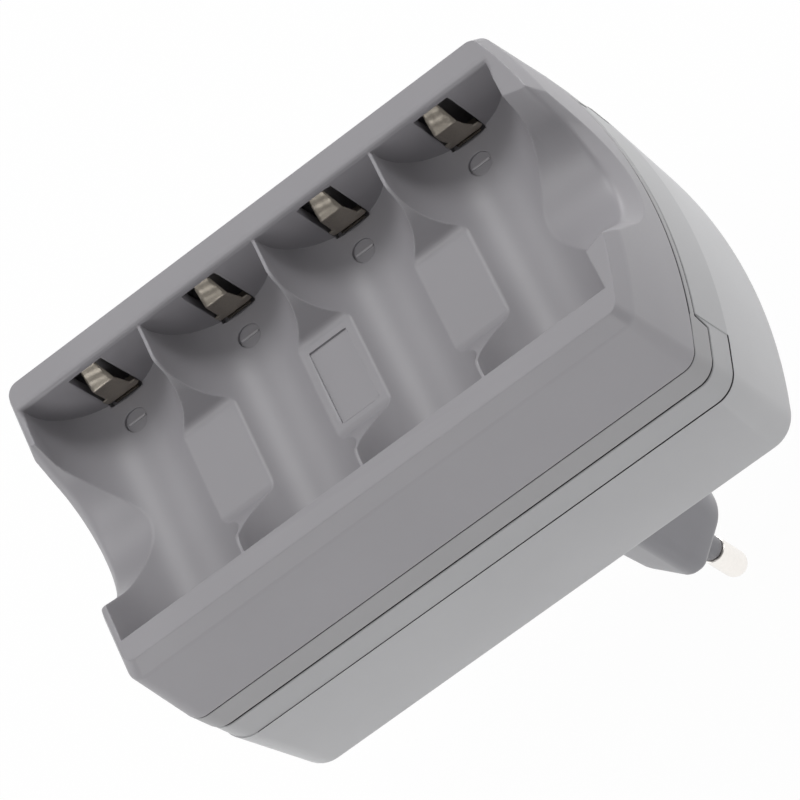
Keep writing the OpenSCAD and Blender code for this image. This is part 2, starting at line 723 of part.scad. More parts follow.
module transformer_bobbin() color([0.15, 0.15, 0.16]) on_transformer() {
  high = core_h / 3 - core_gap;
  flange = [core_w / 3 - core_gap, core_depth / 2 + core_w / 6];
  difference() {
    union() {
      box([-limb_x, -limb_y, -high], [limb_x, limb_y, high]);
      for (z = [-high, high - flange_t]) box([-flange[0], -flange[1], z], [flange[0], flange[1], z + flange_t]);
      for (side = [0, 1]) mirror([0, side, 0])
        box([-flange[0], core_depth / 2 + core_gap, high - flange_t], [flange[0], flange[1], core_h / 2 + core_lift]);
    }
    box([-core_w / 6 - core_gap, -core_depth / 2 - core_gap, -core_h],
        [core_w / 6 + core_gap, core_depth / 2 + core_gap, core_h]);
  }
}

module transformer_winding() color([0.75, 0.5, 0.25]) on_transformer() {
  high = core_h / 3 - core_gap - flange_t;
  hx = core_w / 3 - 0.4;
  hy = core_depth / 2 + core_w / 6 - 0.6;
  difference() {
    translate([0, 0, -high]) linear_extrude(2 * high)
      polygon(rounded([[hx, hy], [-hx, hy], [-hx, -hy], [hx, -hy]], [1.4, 1.4, 1.4, 1.4], 5));
    box([-limb_x, -limb_y, -core_h], [limb_x, limb_y, core_h]);
  }
}

module capacitor(place, d, h) {
  part_frame() translate([place[0], place[1], -board_under - h]) rotate_extrude()
    polygon([[0, 0], [d / 2 - 0.6, 0], [d / 2, 0.6], [d / 2, h - 2.4], [d / 2 - 0.4, h - 2],
             [d / 2 - 0.4, h - 1.6], [d / 2, h - 1.2], [d / 2, h], [0, h]]);
}

module input_capacitor() color([0.15, 0.2, 0.35]) capacitor(input_cap_place, input_cap_d, input_cap_h);
module output_capacitor() color([0.15, 0.2, 0.35]) capacitor(output_cap_place, output_cap_d, output_cap_h);
module fuse() color([0.35, 0.3, 0.3]) part_frame() rod(fuse_place, -board_under - fuse_h, -board_under, fuse_d / 2);

module rectifier() color([0.12, 0.12, 0.12]) part_frame() translate(concat(rectifier_place, -board_under)) {
  foot = rectifier_h * 0.2;
  pitch = rectifier_w / 4;
  box([-rectifier_w / 2, -rectifier_t / 2, -foot - rectifier_h], [rectifier_w / 2, rectifier_t / 2, -foot]);
  for (i = [-1.5:1:1.5]) box([i * pitch - 0.4, -0.3, -foot], [i * pitch + 0.4, 0.3, 0]);
}

module controller_chip() color([0.12, 0.12, 0.12]) part_frame() translate(concat(chip_place, -board_under)) {
  box([-2, -2.5, -1.7], [2, 2.5, -0.1]);
  for (i = [-1.5:1:1.5], side = [0, 1]) mirror([side, 0, 0])
    box([1.9, i * 1.27 - 0.2, -1], [3, i * 1.27 + 0.2, 0]);
}

// Heat sink: a channel that stands on the board, with the transistor flat against it
module heat_sink() color([0.7, 0.7, 0.72]) part_frame() translate([sink_x, 0, -board_under - sink_h]) {
  out = sink_w / 2;
  in = out - sink_t;
  linear_extrude(sink_h)
    polygon([[0, -out], [0, out], [-sink_depth, out], [-sink_depth, in], [-sink_t, in], [-sink_t, -in],
             [-sink_depth, -in], [-sink_depth, -out]]);
}

module power_transistor() color([0.12, 0.12, 0.12]) part_frame() translate([sink_x, 0, -board_under]) {
  half = device_w / 2;
  top = device_leg + device_h;
  box([0, -half, -top], [device_t, half, -device_leg]);
  difference() {
    box([0, -half, -sink_h], [tab_t, half, -top + 1]);
    translate([-1, 0, -(sink_h + top) / 2 - 0.1]) rotate([0, 90, 0])
      cylinder(d = (sink_h - top) * 0.8, h = tab_t + 2);
  }
  for (i = [-1:1]) box([tab_t + 0.6, i * half / 2 - 0.4, -device_leg - 0.5], [tab_t + 1.1, i * half / 2 + 0.4, 0]);
}

module screw() {
  translate([0, 0, -body_h + screw_well]) rotate_extrude($fn = hidden_fn)
    polygon([[0, -screw_head_h], [screw_head_d / 2 - 0.4, -screw_head_h], [screw_head_d / 2, -screw_head_h + 0.4],
             [screw_head_d / 2, 0], [screw_d / 2, 0], [screw_d / 2, screw_reach - 1],
             [screw_d / 2 - 0.8, screw_reach], [0, screw_reach]]);
}

module housing_screws() color([0.6, 0.6, 0.6]) part_frame() {
  for (p = screw_places) translate([p[0], p[1], 0]) screw();
}

upper_cover();
middle_frame();
lower_shell();
front_pin();
rear_pin();
front_pin_sleeve();
rear_pin_sleeve();
negative_contact_1();
negative_contact_2();
negative_contact_3();
negative_contact_4();
positive_contact_1();
positive_contact_2();
positive_contact_3();
positive_contact_4();
negative_bus();
circuit_board();
transformer_core();
transformer_bobbin();
transformer_winding();
input_capacitor();
output_capacitor();
rectifier();
fuse();
controller_chip();
power_transistor();
heat_sink();
front_pin_lead();
rear_pin_lead();
housing_screws();
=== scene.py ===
"""Looks of a plug-in wall charger for four round cells: moulded housing, contacts, plug and studio."""

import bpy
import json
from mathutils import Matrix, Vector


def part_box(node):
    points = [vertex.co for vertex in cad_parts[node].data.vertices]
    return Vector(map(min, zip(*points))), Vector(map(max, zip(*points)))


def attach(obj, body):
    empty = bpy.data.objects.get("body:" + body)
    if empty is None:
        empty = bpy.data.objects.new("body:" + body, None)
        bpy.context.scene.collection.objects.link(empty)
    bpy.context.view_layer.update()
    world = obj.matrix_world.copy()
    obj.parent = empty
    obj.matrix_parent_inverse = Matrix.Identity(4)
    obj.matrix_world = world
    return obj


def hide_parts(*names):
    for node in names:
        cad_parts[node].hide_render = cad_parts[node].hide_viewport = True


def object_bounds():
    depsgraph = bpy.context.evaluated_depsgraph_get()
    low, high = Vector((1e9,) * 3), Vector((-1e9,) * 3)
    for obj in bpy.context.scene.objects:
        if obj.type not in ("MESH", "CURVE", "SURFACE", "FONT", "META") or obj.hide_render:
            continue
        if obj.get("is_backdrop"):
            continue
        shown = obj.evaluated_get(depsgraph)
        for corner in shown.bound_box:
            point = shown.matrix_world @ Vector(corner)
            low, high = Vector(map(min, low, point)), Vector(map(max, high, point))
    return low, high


bl_info = {
    "name": "Plug-in cell charger",
    "version": (1, 0, 0),
    "blender": (4, 5, 0),
    "location": "3D View > Sidebar > Charger",
    "description": "Builds the moulded housing, contacts, plug and studio round the packed model",
    "category": "Object",
}

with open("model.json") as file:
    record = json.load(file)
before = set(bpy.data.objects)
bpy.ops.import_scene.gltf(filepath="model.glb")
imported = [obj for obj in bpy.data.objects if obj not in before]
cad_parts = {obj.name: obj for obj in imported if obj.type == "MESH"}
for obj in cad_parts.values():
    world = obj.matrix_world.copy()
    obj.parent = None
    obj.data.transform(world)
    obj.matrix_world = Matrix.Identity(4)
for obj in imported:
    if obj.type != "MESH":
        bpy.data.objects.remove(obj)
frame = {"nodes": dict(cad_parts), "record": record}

import json
import math

import bmesh
import bpy
import numpy as np
from bpy.props import FloatProperty, FloatVectorProperty, PointerProperty
from mathutils import Matrix, Vector

CAD_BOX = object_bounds()
MM = 0.001
BODY = "charger"
LEAVES = [f"leaf_{i}" for i in range(1, 5)]
# How far each leaf's tip leans along X, in millimetres. One leaf stands a little askew
LEAF_LEANS = (0, 0, 0, -0.45)

# Places that the frame gives, in millimetres
BAYS = [b for b in frame["record"]["physics"]["openings"] if b["name"].startswith("battery_bay")]
BAY_X = [(b["box_m"][0][0] + b["box_m"][1][0]) / 2 / MM for b in BAYS]
COVER_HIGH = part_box("upper_cover")[1] / MM
SHELL_LOW, SHELL_HIGH = (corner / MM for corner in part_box("lower_shell"))
MIDDLE = Vector((sum(BAY_X) / 4, (SHELL_LOW.y + SHELL_HIGH.y) / 2, COVER_HIGH.z))
PITCH = BAY_X[1] - BAY_X[0]

# Small rounds and reaches of the cover, in millimetres
LEAST_LEAN, MOST_BELOW = 0.01, 1.2
LIP_BLEND = 0.5
RIDGE_ROUND, DIVIDER_END_ROUND = 0.8, 0.2
DISC_CUT, DISC_TOP_ROUND, DISC_EDGE = 1, 0.1, 0.12
RECESS_CUT, RECESS_EDGE = 1, 0.06
BACK_ROUND_START, BACK_ROUND_RUN = 3, 2
WINDOW_CUT, WINDOW_EDGE = 2.4, 0.12
FRONT_WINDOW_TOP, FRONT_WINDOW_BOTTOM, FRONT_WINDOW_LIP = 1.9, 9.4, 0.1

# The cover's grid, in millimetres: steps, room beyond the cover, and reach and step of its finer lines
COARSE, COARSE_UP = 0.42, 0.4
GRID_ROOM, ROOM_BELOW, ROOM_ABOVE = 1, 0.9, 0.8
AT_RIDGE, AT_DISC, AT_WALL, AT_RIM = (0.6, 0.15), (0.3, 0.22), (0.5, 0.2), (0.4, 0.2)
AT_TOP, AT_BEVEL, AT_FLOOR, AT_PAD = (0.8, 0.15), (0.5, 0.2), (0.5, 0.15), (0.3, 0.1)
TOP_MIDDLE, PAD_OFFSET = 0.4, 0.15
# Share of a finer step that the coarse lines keep from it, and the least step that is kept
LINE_CLEAR, LEAST_STEP = 0.6, 0.04

# How the cover's mesh is set on its form: limits of slopes, moves in millimetres, and the number of triangles
TINY, LEAST_SLOPE, EDGE_PULL = 1e-6, 0.1, 0.01
COVER_FACES, SETTLE_ROUNDS, SETTLE_MOVE = 92000, 3, 0.1
NORMAL_REACH, NORMAL_SHARE, NORMAL_AGREE = 0.12, 0.4, 0.7

# Numbers of points, and small places in millimetres, of the housing and the plug's neck
STEP_BEFORE, STEP_NEAR, STEP_AFTER, STRAIGHT_END, STRAIGHT_POINTS = 0.5, 0.4, 0.3, 1.2, 15
CORNER_POINTS, LEAST_CORNER = 10, 0.6
BASE_POINTS, FACE_POINTS, NECK_POINTS, NECK_STEPS, WELL_POINTS = 6, 7, 8, 8, 40
BAND_INSIDE = 2.7
BELT_BEFORE, BELT_GROOVE, BELT_EDGE = 0.45, 0.35, 0.05
# Share of a neck corner's radius that is used, so that the arcs of two corners stay apart
CORNER_SHARE = 0.98

# A pin and its sleeve: the pin's broken edge, collar and stub, and the sleeve's play, gap and lower edge
PIN_EDGE, COLLAR_W, COLLAR_H, STUB, TIP_POINTS = 0.12, 1, 1.5, 4, 12
SLEEVE_PLAY, SLEEVE_GAP = 0.05, 0.2
SLEEVE_EDGE = ((0.3, 0), (0.1, 0.06), (0, 0.25))

# A leaf: its path beyond the wall, its bends, its edges and its shallow dents, in millimetres
TIP_BEHIND, FOOT_BEHIND, FOOT_RISE = 1.3, 0.9, 0.1
BENDS, STRIP_STEP, STRIP_POINTS = (0.25, 0.25, 0.2), 0.25, 11
SHOULDER_RUN = (0.1, 0.05)
EDGE_THIN, EDGE_INSET, EDGE_CROWD = 0.3, 0.02, 1.06
DENT_DEPTH, DENT_TOP, DENT_BOTTOM, DENT_FADE = 0.035, 1.2, 0.3, 2

# Looks of moulded plastic and of plate: noise, bump, and how far the roughness spreads
TEXTURE_DEPTH, MOTTLE = 0.02, 0.02
SPARK = {"Scale": 1 / (0.25 * MM), "Detail": 2.0}
DRIFT = {"Scale": 60.0, "Detail": 3.0}
PLASTIC_BUMP, PLATE_BUMP = 0.25, 0.2
PLASTIC_SPREAD, PLATE_SPREAD = (0.04, 0.06), 0.3
PLASTIC_STOPS, PLATE_STOPS, PLATE_RANGE = (0.3, 0.7), (0.35, 0.65), (0.3, 0.7)
PLASTIC_SPECULAR = 0.55

# Lamps: name, direction, distance and size in metres, and level
LAMPS = (("key", (0.175, 0.53, 0.83), 2.5, 0.8, 0.29), ("back", (-0.50, 0.45, 0.74), 2.5, 1.2, 0.17),
         ("top", (-0.22, -0.20, 0.96), 2.5, 1.0, 0.23), ("front", (-0.35, -0.93, 0.06), 2.0, 0.6, 0.245),
         ("right", (0.95, -0.15, 0.10), 2.0, 1.2, 0.30), ("rear", (0.60, 0.79, 0.12), 2.0, 0.9, 0.40),
         ("left", (-0.95, -0.20, 0.20), 2.0, 1.4, 0.22))
WORLD_LEVEL = 0.20


def length(name, default, about, low=0.0, high=200.0):
    """A size for the sidebar, in millimetres where its description names no other unit."""
    return FloatProperty(name=name, description=about, default=default, min=low, max=high)


def colour(name, default, about):
    """A colour for the sidebar, as sRGB values from 0 to 255."""
    return FloatVectorProperty(name=name, description=about, default=default, size=3, min=0, max=255)


class TraySizes(bpy.types.PropertyGroup):
    bay_r: length("Bay radius", 9.5, "Radius of a bay's floor")
    bay_axis: length("Bay axis", 2.3, "Depth of a bay's centre line below the rim")
    bay_half: length("Bay half length", 19.3, "Half the length of a bay")
    bay_back: length("Bay offset", 0.33, "How far the bays sit toward the front")
    scoop_half: length("Scoop half width", 13.4, "Half the width of the scoops at the rim")
    scoop_depth: length("Scoop depth", 10.9, "Depth of the scoops in the two ends")
    scoop_angle: length("Scoop angle", 58.3, "Angle of the scoop sides from the level, in degrees")
    scoop_lean: length("Scoop lean", 1.0, "How far the left scoop's lip leans out")
    scoop_toe: length("Scoop toe-in", 0.03, "Share by which the right scoop narrows with each mm to its lip")
    front_half: length("Front half", 16.4, "From a bay's middle to the top of the dividers' front slopes")
    left_wide: length("Left room", 0.6, "How much the first bay is wider at its left")
    right_wide: length("Right room", 0.2, "How much the last bay is wider at its right")
    bay_fillet: length("Bay fillet", 0.05, "Round between a bay's floor and its end walls")
    back_round: length("Back round", 0.8, "Round along the top of the back wall")
    pad_depth: length("Pad depth", 10.1, "Depth of the pads between the bays")
    pad_fillet: length("Pad fillet", 0.8, "Radius where a pad meets its slopes")
    ridge_drop: length("Ridge drop", 0.8, "How far the ridges lie below the rim")
    recess_l: length("Recess length", 11.8, "Length of the recess in the middle pad")
    recess_w: length("Recess width", 6.1, "Width of the recess in the middle pad")
    recess_depth: length("Recess depth", 0.3, "Depth of the recess in the middle pad")
    disc_r: length("Disc radius", 1.7, "Radius of the minus discs")
    disc_depth: length("Disc depth", 0.3, "Depth of the minus discs")
    disc_inset: length("Disc inset", 4.15, "Distance from a bay's back wall to its disc")
    bar_l: length("Bar length", 2.9, "Length of the raised minus bars")
    bar_w: length("Bar width", 0.36, "Width of the raised minus bars")
    disc_left: length("Disc offset", 0.25, "How far a disc sits left of its bay's middle")
    window_w: length("Window width", 5.54, "Width of the contact windows")
    window_top: length("Window top", 1.6, "Depth of the windows' top edge")
    window_bottom: length("Window bottom", 12.5, "Depth of the windows' bottom edge")
    window_lip: length("Window lip", 0.35, "How far the windows cut into the bay floors")
    rear_window_w: length("Front window width", 6.8, "Width of the windows of the fixed contacts")
    edge_r: length("Edge radius", 0.16, "Round of the moulded edges")
    wall: length("Wall", 1.8, "Thickness of the moulding")


class HousingSizes(bpy.types.PropertyGroup):
    rim_right: length("Rim right", 43.5, "From the bays' middle to the rim's right end")
    rim_left: length("Rim left", 40.2, "From the bays' middle to the rim's left end")
    rim_half: length("Rim half width", 23.15, "Half the width of the flat rim")
    rim_corner: length("Rim corner", 1.8, "Corner radius of the rim")
    rim_bulge: length("Rim bulge", 62, "Radius of the rim's curved right end")
    left_bulge: length("Left bulge", 3000, "Radius of the nearly straight left end", high=9000)
    bevel_w: length("Bevel width", 1.35, "Width of the bevel round the rim")
    end_bevel_w: length("End bevel width", 1.2, "Width of the bevel at the right end")
    bevel_h: length("Bevel height", 2.8, "Height of the bevel")
    bevel_round: length("Bevel round", 0.15, "Round along the foot of the bevel")
    rim_round: length("Rim round", 0.12, "Round along the rim's outer edge")
    bevel_corner: length("Bevel corner", 1.9, "Corner radius at the foot of the bevel")
    seam_right: length("Seam right", 45.2, "From the bays' middle to the right end at the upper seam")
    seam_left: length("Seam left", 42.8, "From the bays' middle to the left end at the upper seam")
    seam_half: length("Seam half width", 25.45, "Half the width at the upper seam")
    seam_corner: length("Seam corner", 2.8, "Corner radius at the upper seam")
    bulge: length("Bulge", 66, "Radius of the curved right end at the seams")
    crease_right: length("Crease right", 45.5, "From the bays' middle to the right end at the crease")
    crease_left: length("Crease left", 43.1, "From the bays' middle to the left end at the crease")
    crease_half: length("Crease half width", 25.75, "Half the width at the crease")
    crease_corner: length("Crease corner", 4.2, "Corner radius at the crease")
    base_right: length("Base right", 44.6, "From the bays' middle to the right end at the bottom")
    base_left: length("Base left", 42.0, "From the bays' middle to the left end at the bottom")
    base_half: length("Base half width", 25.0, "Half the width at the bottom")
    base_corner: length("Base corner", 4.6, "Corner radius at the bottom")
    base_edge: length("Base edge", 1.2, "Round of the bottom edge")
    upper_seam: length("Upper seam", 17.6, "Depth of the upper seam")
    side_seam: length("Side seam", 22.5, "Depth of the lower seam along the sides")
    end_seam: length("End seam", 19.2, "Depth of the lower seam across the ends")
    crease: length("Crease", 28.3, "Depth of the crease and of the belt line")
    bottom: length("Bottom", 48.0, "Depth of the housing's bottom")
    screw_x: length("Screw place, length", 34.0, "Distance of a screw from the bays' middle")
    screw_y: length("Screw place, width", 17.0, "Distance of a screw from the middle of the width")
    well_r: length("Well radius", 2.8, "Radius of a screw's well")
    well_depth: length("Well depth", 12.0, "Depth of a screw's well from the bottom")
    shank_r: length("Shank hole radius", 1.6, "Radius of the hole for a screw's shank")
    post_r: length("Post radius", 3.8, "Radius of the posts that the board rests on")
    post_top: length("Post top", 21.6, "Depth of the posts' tops below the rim")
    step_y: length("Step", 18.7, "From the middle to the step of the lower seam")
    step_run: length("Step run", 0.6, "Length of that step")
    upper_gap: length("Upper gap", 0.3, "Height of the open line at the upper seam")
    upper_end_gap: length("Upper end gap", 0.46, "Height of the upper seam's open line at the ends")
    lower_gap: length("Lower gap", 0.6, "Height of the open line at the lower seam")
    end_gap: length("End gap", 0.33, "Height of the open line at the ends of the lower seam")
    step_gap: length("Step gap", 0.5, "Width of the open line at the step of the lower seam")
    belt_gap: length("Belt gap", 0.26, "Height of the fine line at the crease")
    seam_depth: length("Seam depth", 0.8, "Depth of the open line at a seam")
    belt_depth: length("Belt depth", 0.12, "How far the belt lies back")
    belt_start: length("Belt start", 36.0, "Where the belt line runs out near the left end")
    band_edge: length("Band edge", 0.08, "Broken edge of the band")
    shell_edge: length("Shell edge", 0.12, "Broken edge of the shell under the lower seam")
    wall: length("Wall", 1.8, "Thickness of the moulding")
    floor: length("Floor", 2.2, "Thickness of the floor")


class PlugSizes(bpy.types.PropertyGroup):
    face_l: length("Face length", 35.3, "Length of the plug's face")
    face_w: length("Face width", 13.7, "Width of the plug's face")
    tip_w: length("Tip width", 2.4, "Width of the narrow tips")
    face_corner: length("Face corner", 5.0, "Corner radius of the plug's face")
    base_corner: length("Base corner", 9.0, "Corner radius where the neck meets the housing")
    edge_r: length("Face round", 2.0, "Round of the face's edge")
    base_l: length("Base length", 36.0, "Length of the neck at the housing")
    base_w: length("Base width", 20.0, "Width of the neck at the housing")
    pin_d: length("Pin diameter", 4.0, "Diameter of the bare pin")
    pin_l: length("Pin length", 19.0, "Length of a pin from the plug's face")
    pin_spacing: length("Pin spacing", 19.0, "Distance between the pins")
    core_d: length("Core diameter", 2.9, "Diameter of the pin inside the sleeve")
    sleeve_d: length("Sleeve diameter", 3.7, "Outer diameter of a sleeve")
    sleeve_l: length("Sleeve length", 10.0, "Length of a sleeve from the plug's face")
    sleeve_seat: length("Sleeve seat", 1.5, "How far a sleeve sits in the plug's face")
    nose: length("Nose", 9.0, "Thickness of the plug round the pins")


class LeafSizes(bpy.types.PropertyGroup):
    thick: length("Strip", 0.4, "Thickness of the contact strip")
    fold_reach: length("Reach", 0.85, "How far the fold stands out of the back wall")
    fold_depth: length("Fold depth", 5.4, "Depth of the fold below the rim")
    tip_w: length("Tip", 1.9, "Width of the tip")
    tip_gap: length("Tip gap", 1.1, "Height of the open window over the tip")
    fold_w: length("Fold", 3.6, "Width at the fold")
    waist_w: length("Waist", 4.2, "Width above the shoulders")
    shoulder_w: length("Shoulders", 5.5, "Width across the shoulders")
    shoulder_high: length("Shoulder top", 9.4, "Depth of the shoulders' top")
    shoulder_low: length("Shoulder bottom", 10.9, "Depth of the shoulders' bottom")
    foot_depth: length("Foot", 11.9, "Depth of the foot")


class Finishes(bpy.types.PropertyGroup):
    cover: colour("Cover", (150, 148, 152), "Grey of the upper cover")
    band: colour("Band", (154, 153, 155), "Grey of the middle band")
    shell: colour("Shell", (178, 178, 180), "Grey of the lower shell")
    # Belt: the shell's plastic in a darker tone above the crease, a painted shade on the recessed belt
    belt: colour("Belt", (167, 167, 169), "Grey of the shell above its crease")
    # Neck: the shell's plastic in a darker tone, a painted shade for the shadow under the housing
    neck: colour("Neck", (127, 126, 131), "Grey of the plug's neck")
    # Mark: the cover's plastic in a lighter tone, a painted highlight on the raised minus bars
    mark: colour("Mark", (182, 180, 183), "Grey of the minus bars")
    seam: colour("Seam", (58, 56, 58), "Shade inside the open seams")
    sleeve: colour("Sleeve", (116, 115, 120), "Grey of the pin sleeves")
    nickel: colour("Nickel", (186, 178, 166), "Nickel plate of the contacts")
    pin: colour("Pin", (252, 248, 243), "Bright plate of the pins")


GROUPS = {"tray": TraySizes, "housing": HousingSizes, "plug": PlugSizes, "leaf": LeafSizes,
          "finish": Finishes}


# Distances and rounds

def round_max(a, b, r):
    """The larger of two distances, with a round of radius r where they meet."""
    corner = np.hypot(np.maximum(a + r, 0), np.maximum(b + r, 0))
    return np.minimum(np.maximum(a, b), -r) + corner


def round_min(a, b, r):
    """The smaller of two distances, with a round of radius r where they meet."""
    return -round_max(-a, -b, r)


def plan(x, y, right, left, half, corner, right_bulge, left_bulge):
    """Distance outside the housing's outline in plan: straight sides, curved ends and round corners."""
    ends = []
    for along, reach, bulge in ((x, right, right_bulge), (-x, left, left_bulge)):
        away = np.hypot(along - (reach - bulge), y)
        lean = np.abs(y) / away
        a, b = np.abs(y) - half + corner, away - bulge + corner
        reach = np.maximum(a * a + b * b - 2 * a * b * lean, 0)
        arc = np.sqrt(reach / np.maximum(1 - lean * lean, LEAST_LEAN))
        ends.append(np.where((a > lean * b) & (b > lean * a), arc, np.maximum(a, b)) - corner)
    return np.maximum(*ends)


def outer_form(x, y, z, h):
    """Distance outside the cover's outer walls, bevel and rim."""
    down = -z / h.bevel_h
    below = (-z - h.bevel_h) / (h.upper_seam - h.bevel_h)
    lower = np.clip(below, 0, MOST_BELOW)
    corner = h.rim_corner + (h.bevel_corner - h.rim_corner) * np.clip(down, 0, 1)
    bevel = plan(x, y, h.rim_right + h.end_bevel_w * down, h.rim_left + h.bevel_w * down,
                 h.rim_half + h.bevel_w * down, corner, h.rim_bulge + h.end_bevel_w * down, h.left_bulge)
    bevel = bevel * h.bevel_h / math.hypot(h.bevel_h, h.bevel_w)
    right = h.rim_right + h.end_bevel_w
    left = h.rim_left + h.bevel_w
    half = h.rim_half + h.bevel_w
    wall = plan(x, y, right + (h.seam_right - right) * below, left + (h.seam_left - left) * below,
                half + (h.seam_half - half) * below,
                h.bevel_corner + (h.seam_corner - h.bevel_corner) * lower,
                h.rim_bulge + (h.bulge - h.rim_bulge) * lower, h.left_bulge)
    return round_max(round_max(bevel, wall, h.bevel_round), z + 0 * x, h.rim_round)


def slope(y, z, half, angle):
    """Distance below a slope that starts at (half, 0) and runs down toward the middle."""
    return math.sin(angle) * (np.abs(y) - half) - math.cos(angle) * z


def scoop_space(y, z, t):
    """Distance below an end scoop: straight slopes that run into one arc."""
    angle = math.radians(t.scoop_angle)
    r = (t.scoop_half * math.sin(angle) - t.scoop_depth * math.cos(angle)) / (1 - math.cos(angle))
    up = z - (r - t.scoop_depth)
    on_arc = np.arctan2(np.abs(y), -up) < angle
    return np.where(on_arc, np.hypot(y, up) - r, slope(y, z, t.scoop_half, angle))


def end_space(x, y, z, t, rim, bulge, bevel, lean, bevel_h, toe):
    """Distance below an end scoop, with the rim's bevel along its outer lip."""
    crest = rim - bulge + np.sqrt(bulge * bulge - y * y) + lean * np.maximum(0, -z) / t.scoop_depth
    out = x - crest
    soft = (out + np.hypot(out, LIP_BLEND)) / 2
    high = z + soft * bevel_h / bevel
    wider = 1 + toe * np.maximum(0, x - (BAY_X[3] - MIDDLE.x + t.bay_r))
    return np.maximum(scoop_space((y + t.bay_back) * wider, high, t), BAY_X[3] - MIDDLE.x - x)


def divider_space(x, y, z, t):
    """Distance below the ridges, slopes and pads between the bays."""
    angle = math.radians(t.scoop_angle)
    rise = t.pad_depth - t.ridge_drop
    front_angle = math.atan2(rise, t.front_half - t.scoop_half + rise / math.tan(angle))
    yb = y + t.bay_back
    under = np.where(yb > 0, slope(yb, z + t.ridge_drop, t.scoop_half, angle),
                     slope(yb, z + t.ridge_drop, t.front_half, front_angle))
    notch = round_max(under, -t.pad_depth - z, t.pad_fillet)
    space = round_min(notch, -t.ridge_drop - z, RIDGE_ROUND)
    space = round_max(space, np.abs(yb) - t.bay_half, DIVIDER_END_ROUND)
    return np.maximum(space, np.abs(x) - (BAY_X[3] - MIDDLE.x))


def nearest_bay(x):
    """Distance along x from the middle of the nearest bay."""
    first = BAY_X[0] - MIDDLE.x
    index = np.clip(np.round((x - first) / PITCH), 0, 3)
    return x - (first + index * PITCH)


def tray_form(x, y, z, t, h):
    """Distance outside the cover as a solid block with its bays, dividers and scoops."""
    u = nearest_bay(x)
    reach = BAY_X[3] - MIDDLE.x
    wide = np.where(x < -reach, t.left_wide, np.where(x > reach, t.right_wide, 0))
    u = u * t.bay_r / (t.bay_r + wide)
    v = z + t.bay_axis
    yb = y + t.bay_back
    trough = np.where(v < 0, np.hypot(u, v), np.abs(u)) - t.bay_r
    space = round_max(trough, np.abs(yb) - t.bay_half, t.bay_fillet)
    disc = np.hypot(u + t.disc_left, yb - (t.bay_half - t.disc_inset)) - t.disc_r
    disc = np.maximum(disc, -t.bay_axis - t.bay_r - t.disc_depth - z)
    disc = round_max(disc, z + t.bay_axis + DISC_CUT, DISC_TOP_ROUND)
    space = round_min(space, disc, DISC_EDGE)
    space = round_min(space, divider_space(x, y, z, t), t.edge_r)
    right = end_space(x, y, z, t, h.rim_right, h.rim_bulge, h.end_bevel_w, 0, h.bevel_h, t.scoop_toe)
    left = end_space(-x, y, z, t, h.rim_left, h.left_bulge, h.bevel_w, t.scoop_lean, h.bevel_h, 0)
    space = round_min(space, np.minimum(right, left), t.edge_r)
    recess = np.maximum(np.abs(x) - t.recess_w / 2, np.abs(yb) - t.recess_l / 2)
    recess = np.maximum(recess, np.maximum(-t.pad_depth - t.recess_depth - z, z + t.pad_depth - RECESS_CUT))
    space = round_min(space, recess, RECESS_EDGE)
    along = np.clip((yb - t.bay_half + BACK_ROUND_START) / BACK_ROUND_RUN, 0, 1)
    edge = t.edge_r + (t.back_round - t.edge_r) * along
    return round_max(outer_form(x, y, z, h), -space, edge)


def window_space(x, y, z, t):
    """Distance outside the contact windows in the back and front walls."""
    u = np.abs(nearest_bay(x))
    yb = y + t.bay_back
    back = np.maximum(u - t.window_w / 2,
                      np.maximum(t.bay_half - t.window_lip - yb, yb - t.bay_half - WINDOW_CUT))
    back = np.maximum(back, np.maximum(-t.window_bottom - z, z + t.window_top))
    front = np.maximum(u - t.rear_window_w / 2,
                       np.maximum(yb + t.bay_half - FRONT_WINDOW_LIP, -yb - t.bay_half - WINDOW_CUT))
    front = np.maximum(front, np.maximum(-FRONT_WINDOW_BOTTOM - z, z + FRONT_WINDOW_TOP))
    return np.minimum(back, front)


def cover_form(x, y, z, t, h):
    """Distance outside the hollow cover."""
    block = tray_form(x, y, z, t, h)
    hollow = np.maximum(block, -(block + t.wall))
    return round_max(hollow, -window_space(x, y, z, t), WINDOW_EDGE)


# Meshes from distances

def graded(low, high, coarse, places):
    """Grid lines from low to high, coarse apart, with finer lines round the given (place, reach, step)."""
    lines = list(np.arange(low, high + coarse, coarse))
    for place, reach, step in places:
        lines = [v for v in lines if abs(v - place) > reach + step * LINE_CLEAR]
        lines += list(np.arange(place - reach, place + reach + step / 2, step))
    lines = np.array(sorted(lines))
    keep = np.concatenate([[True], np.diff(lines) > LEAST_STEP])
    return lines[keep]


def unit(vectors):
    """The vectors at length one."""
    return vectors / np.maximum(np.linalg.norm(vectors, axis=1, keepdims=True), TINY)


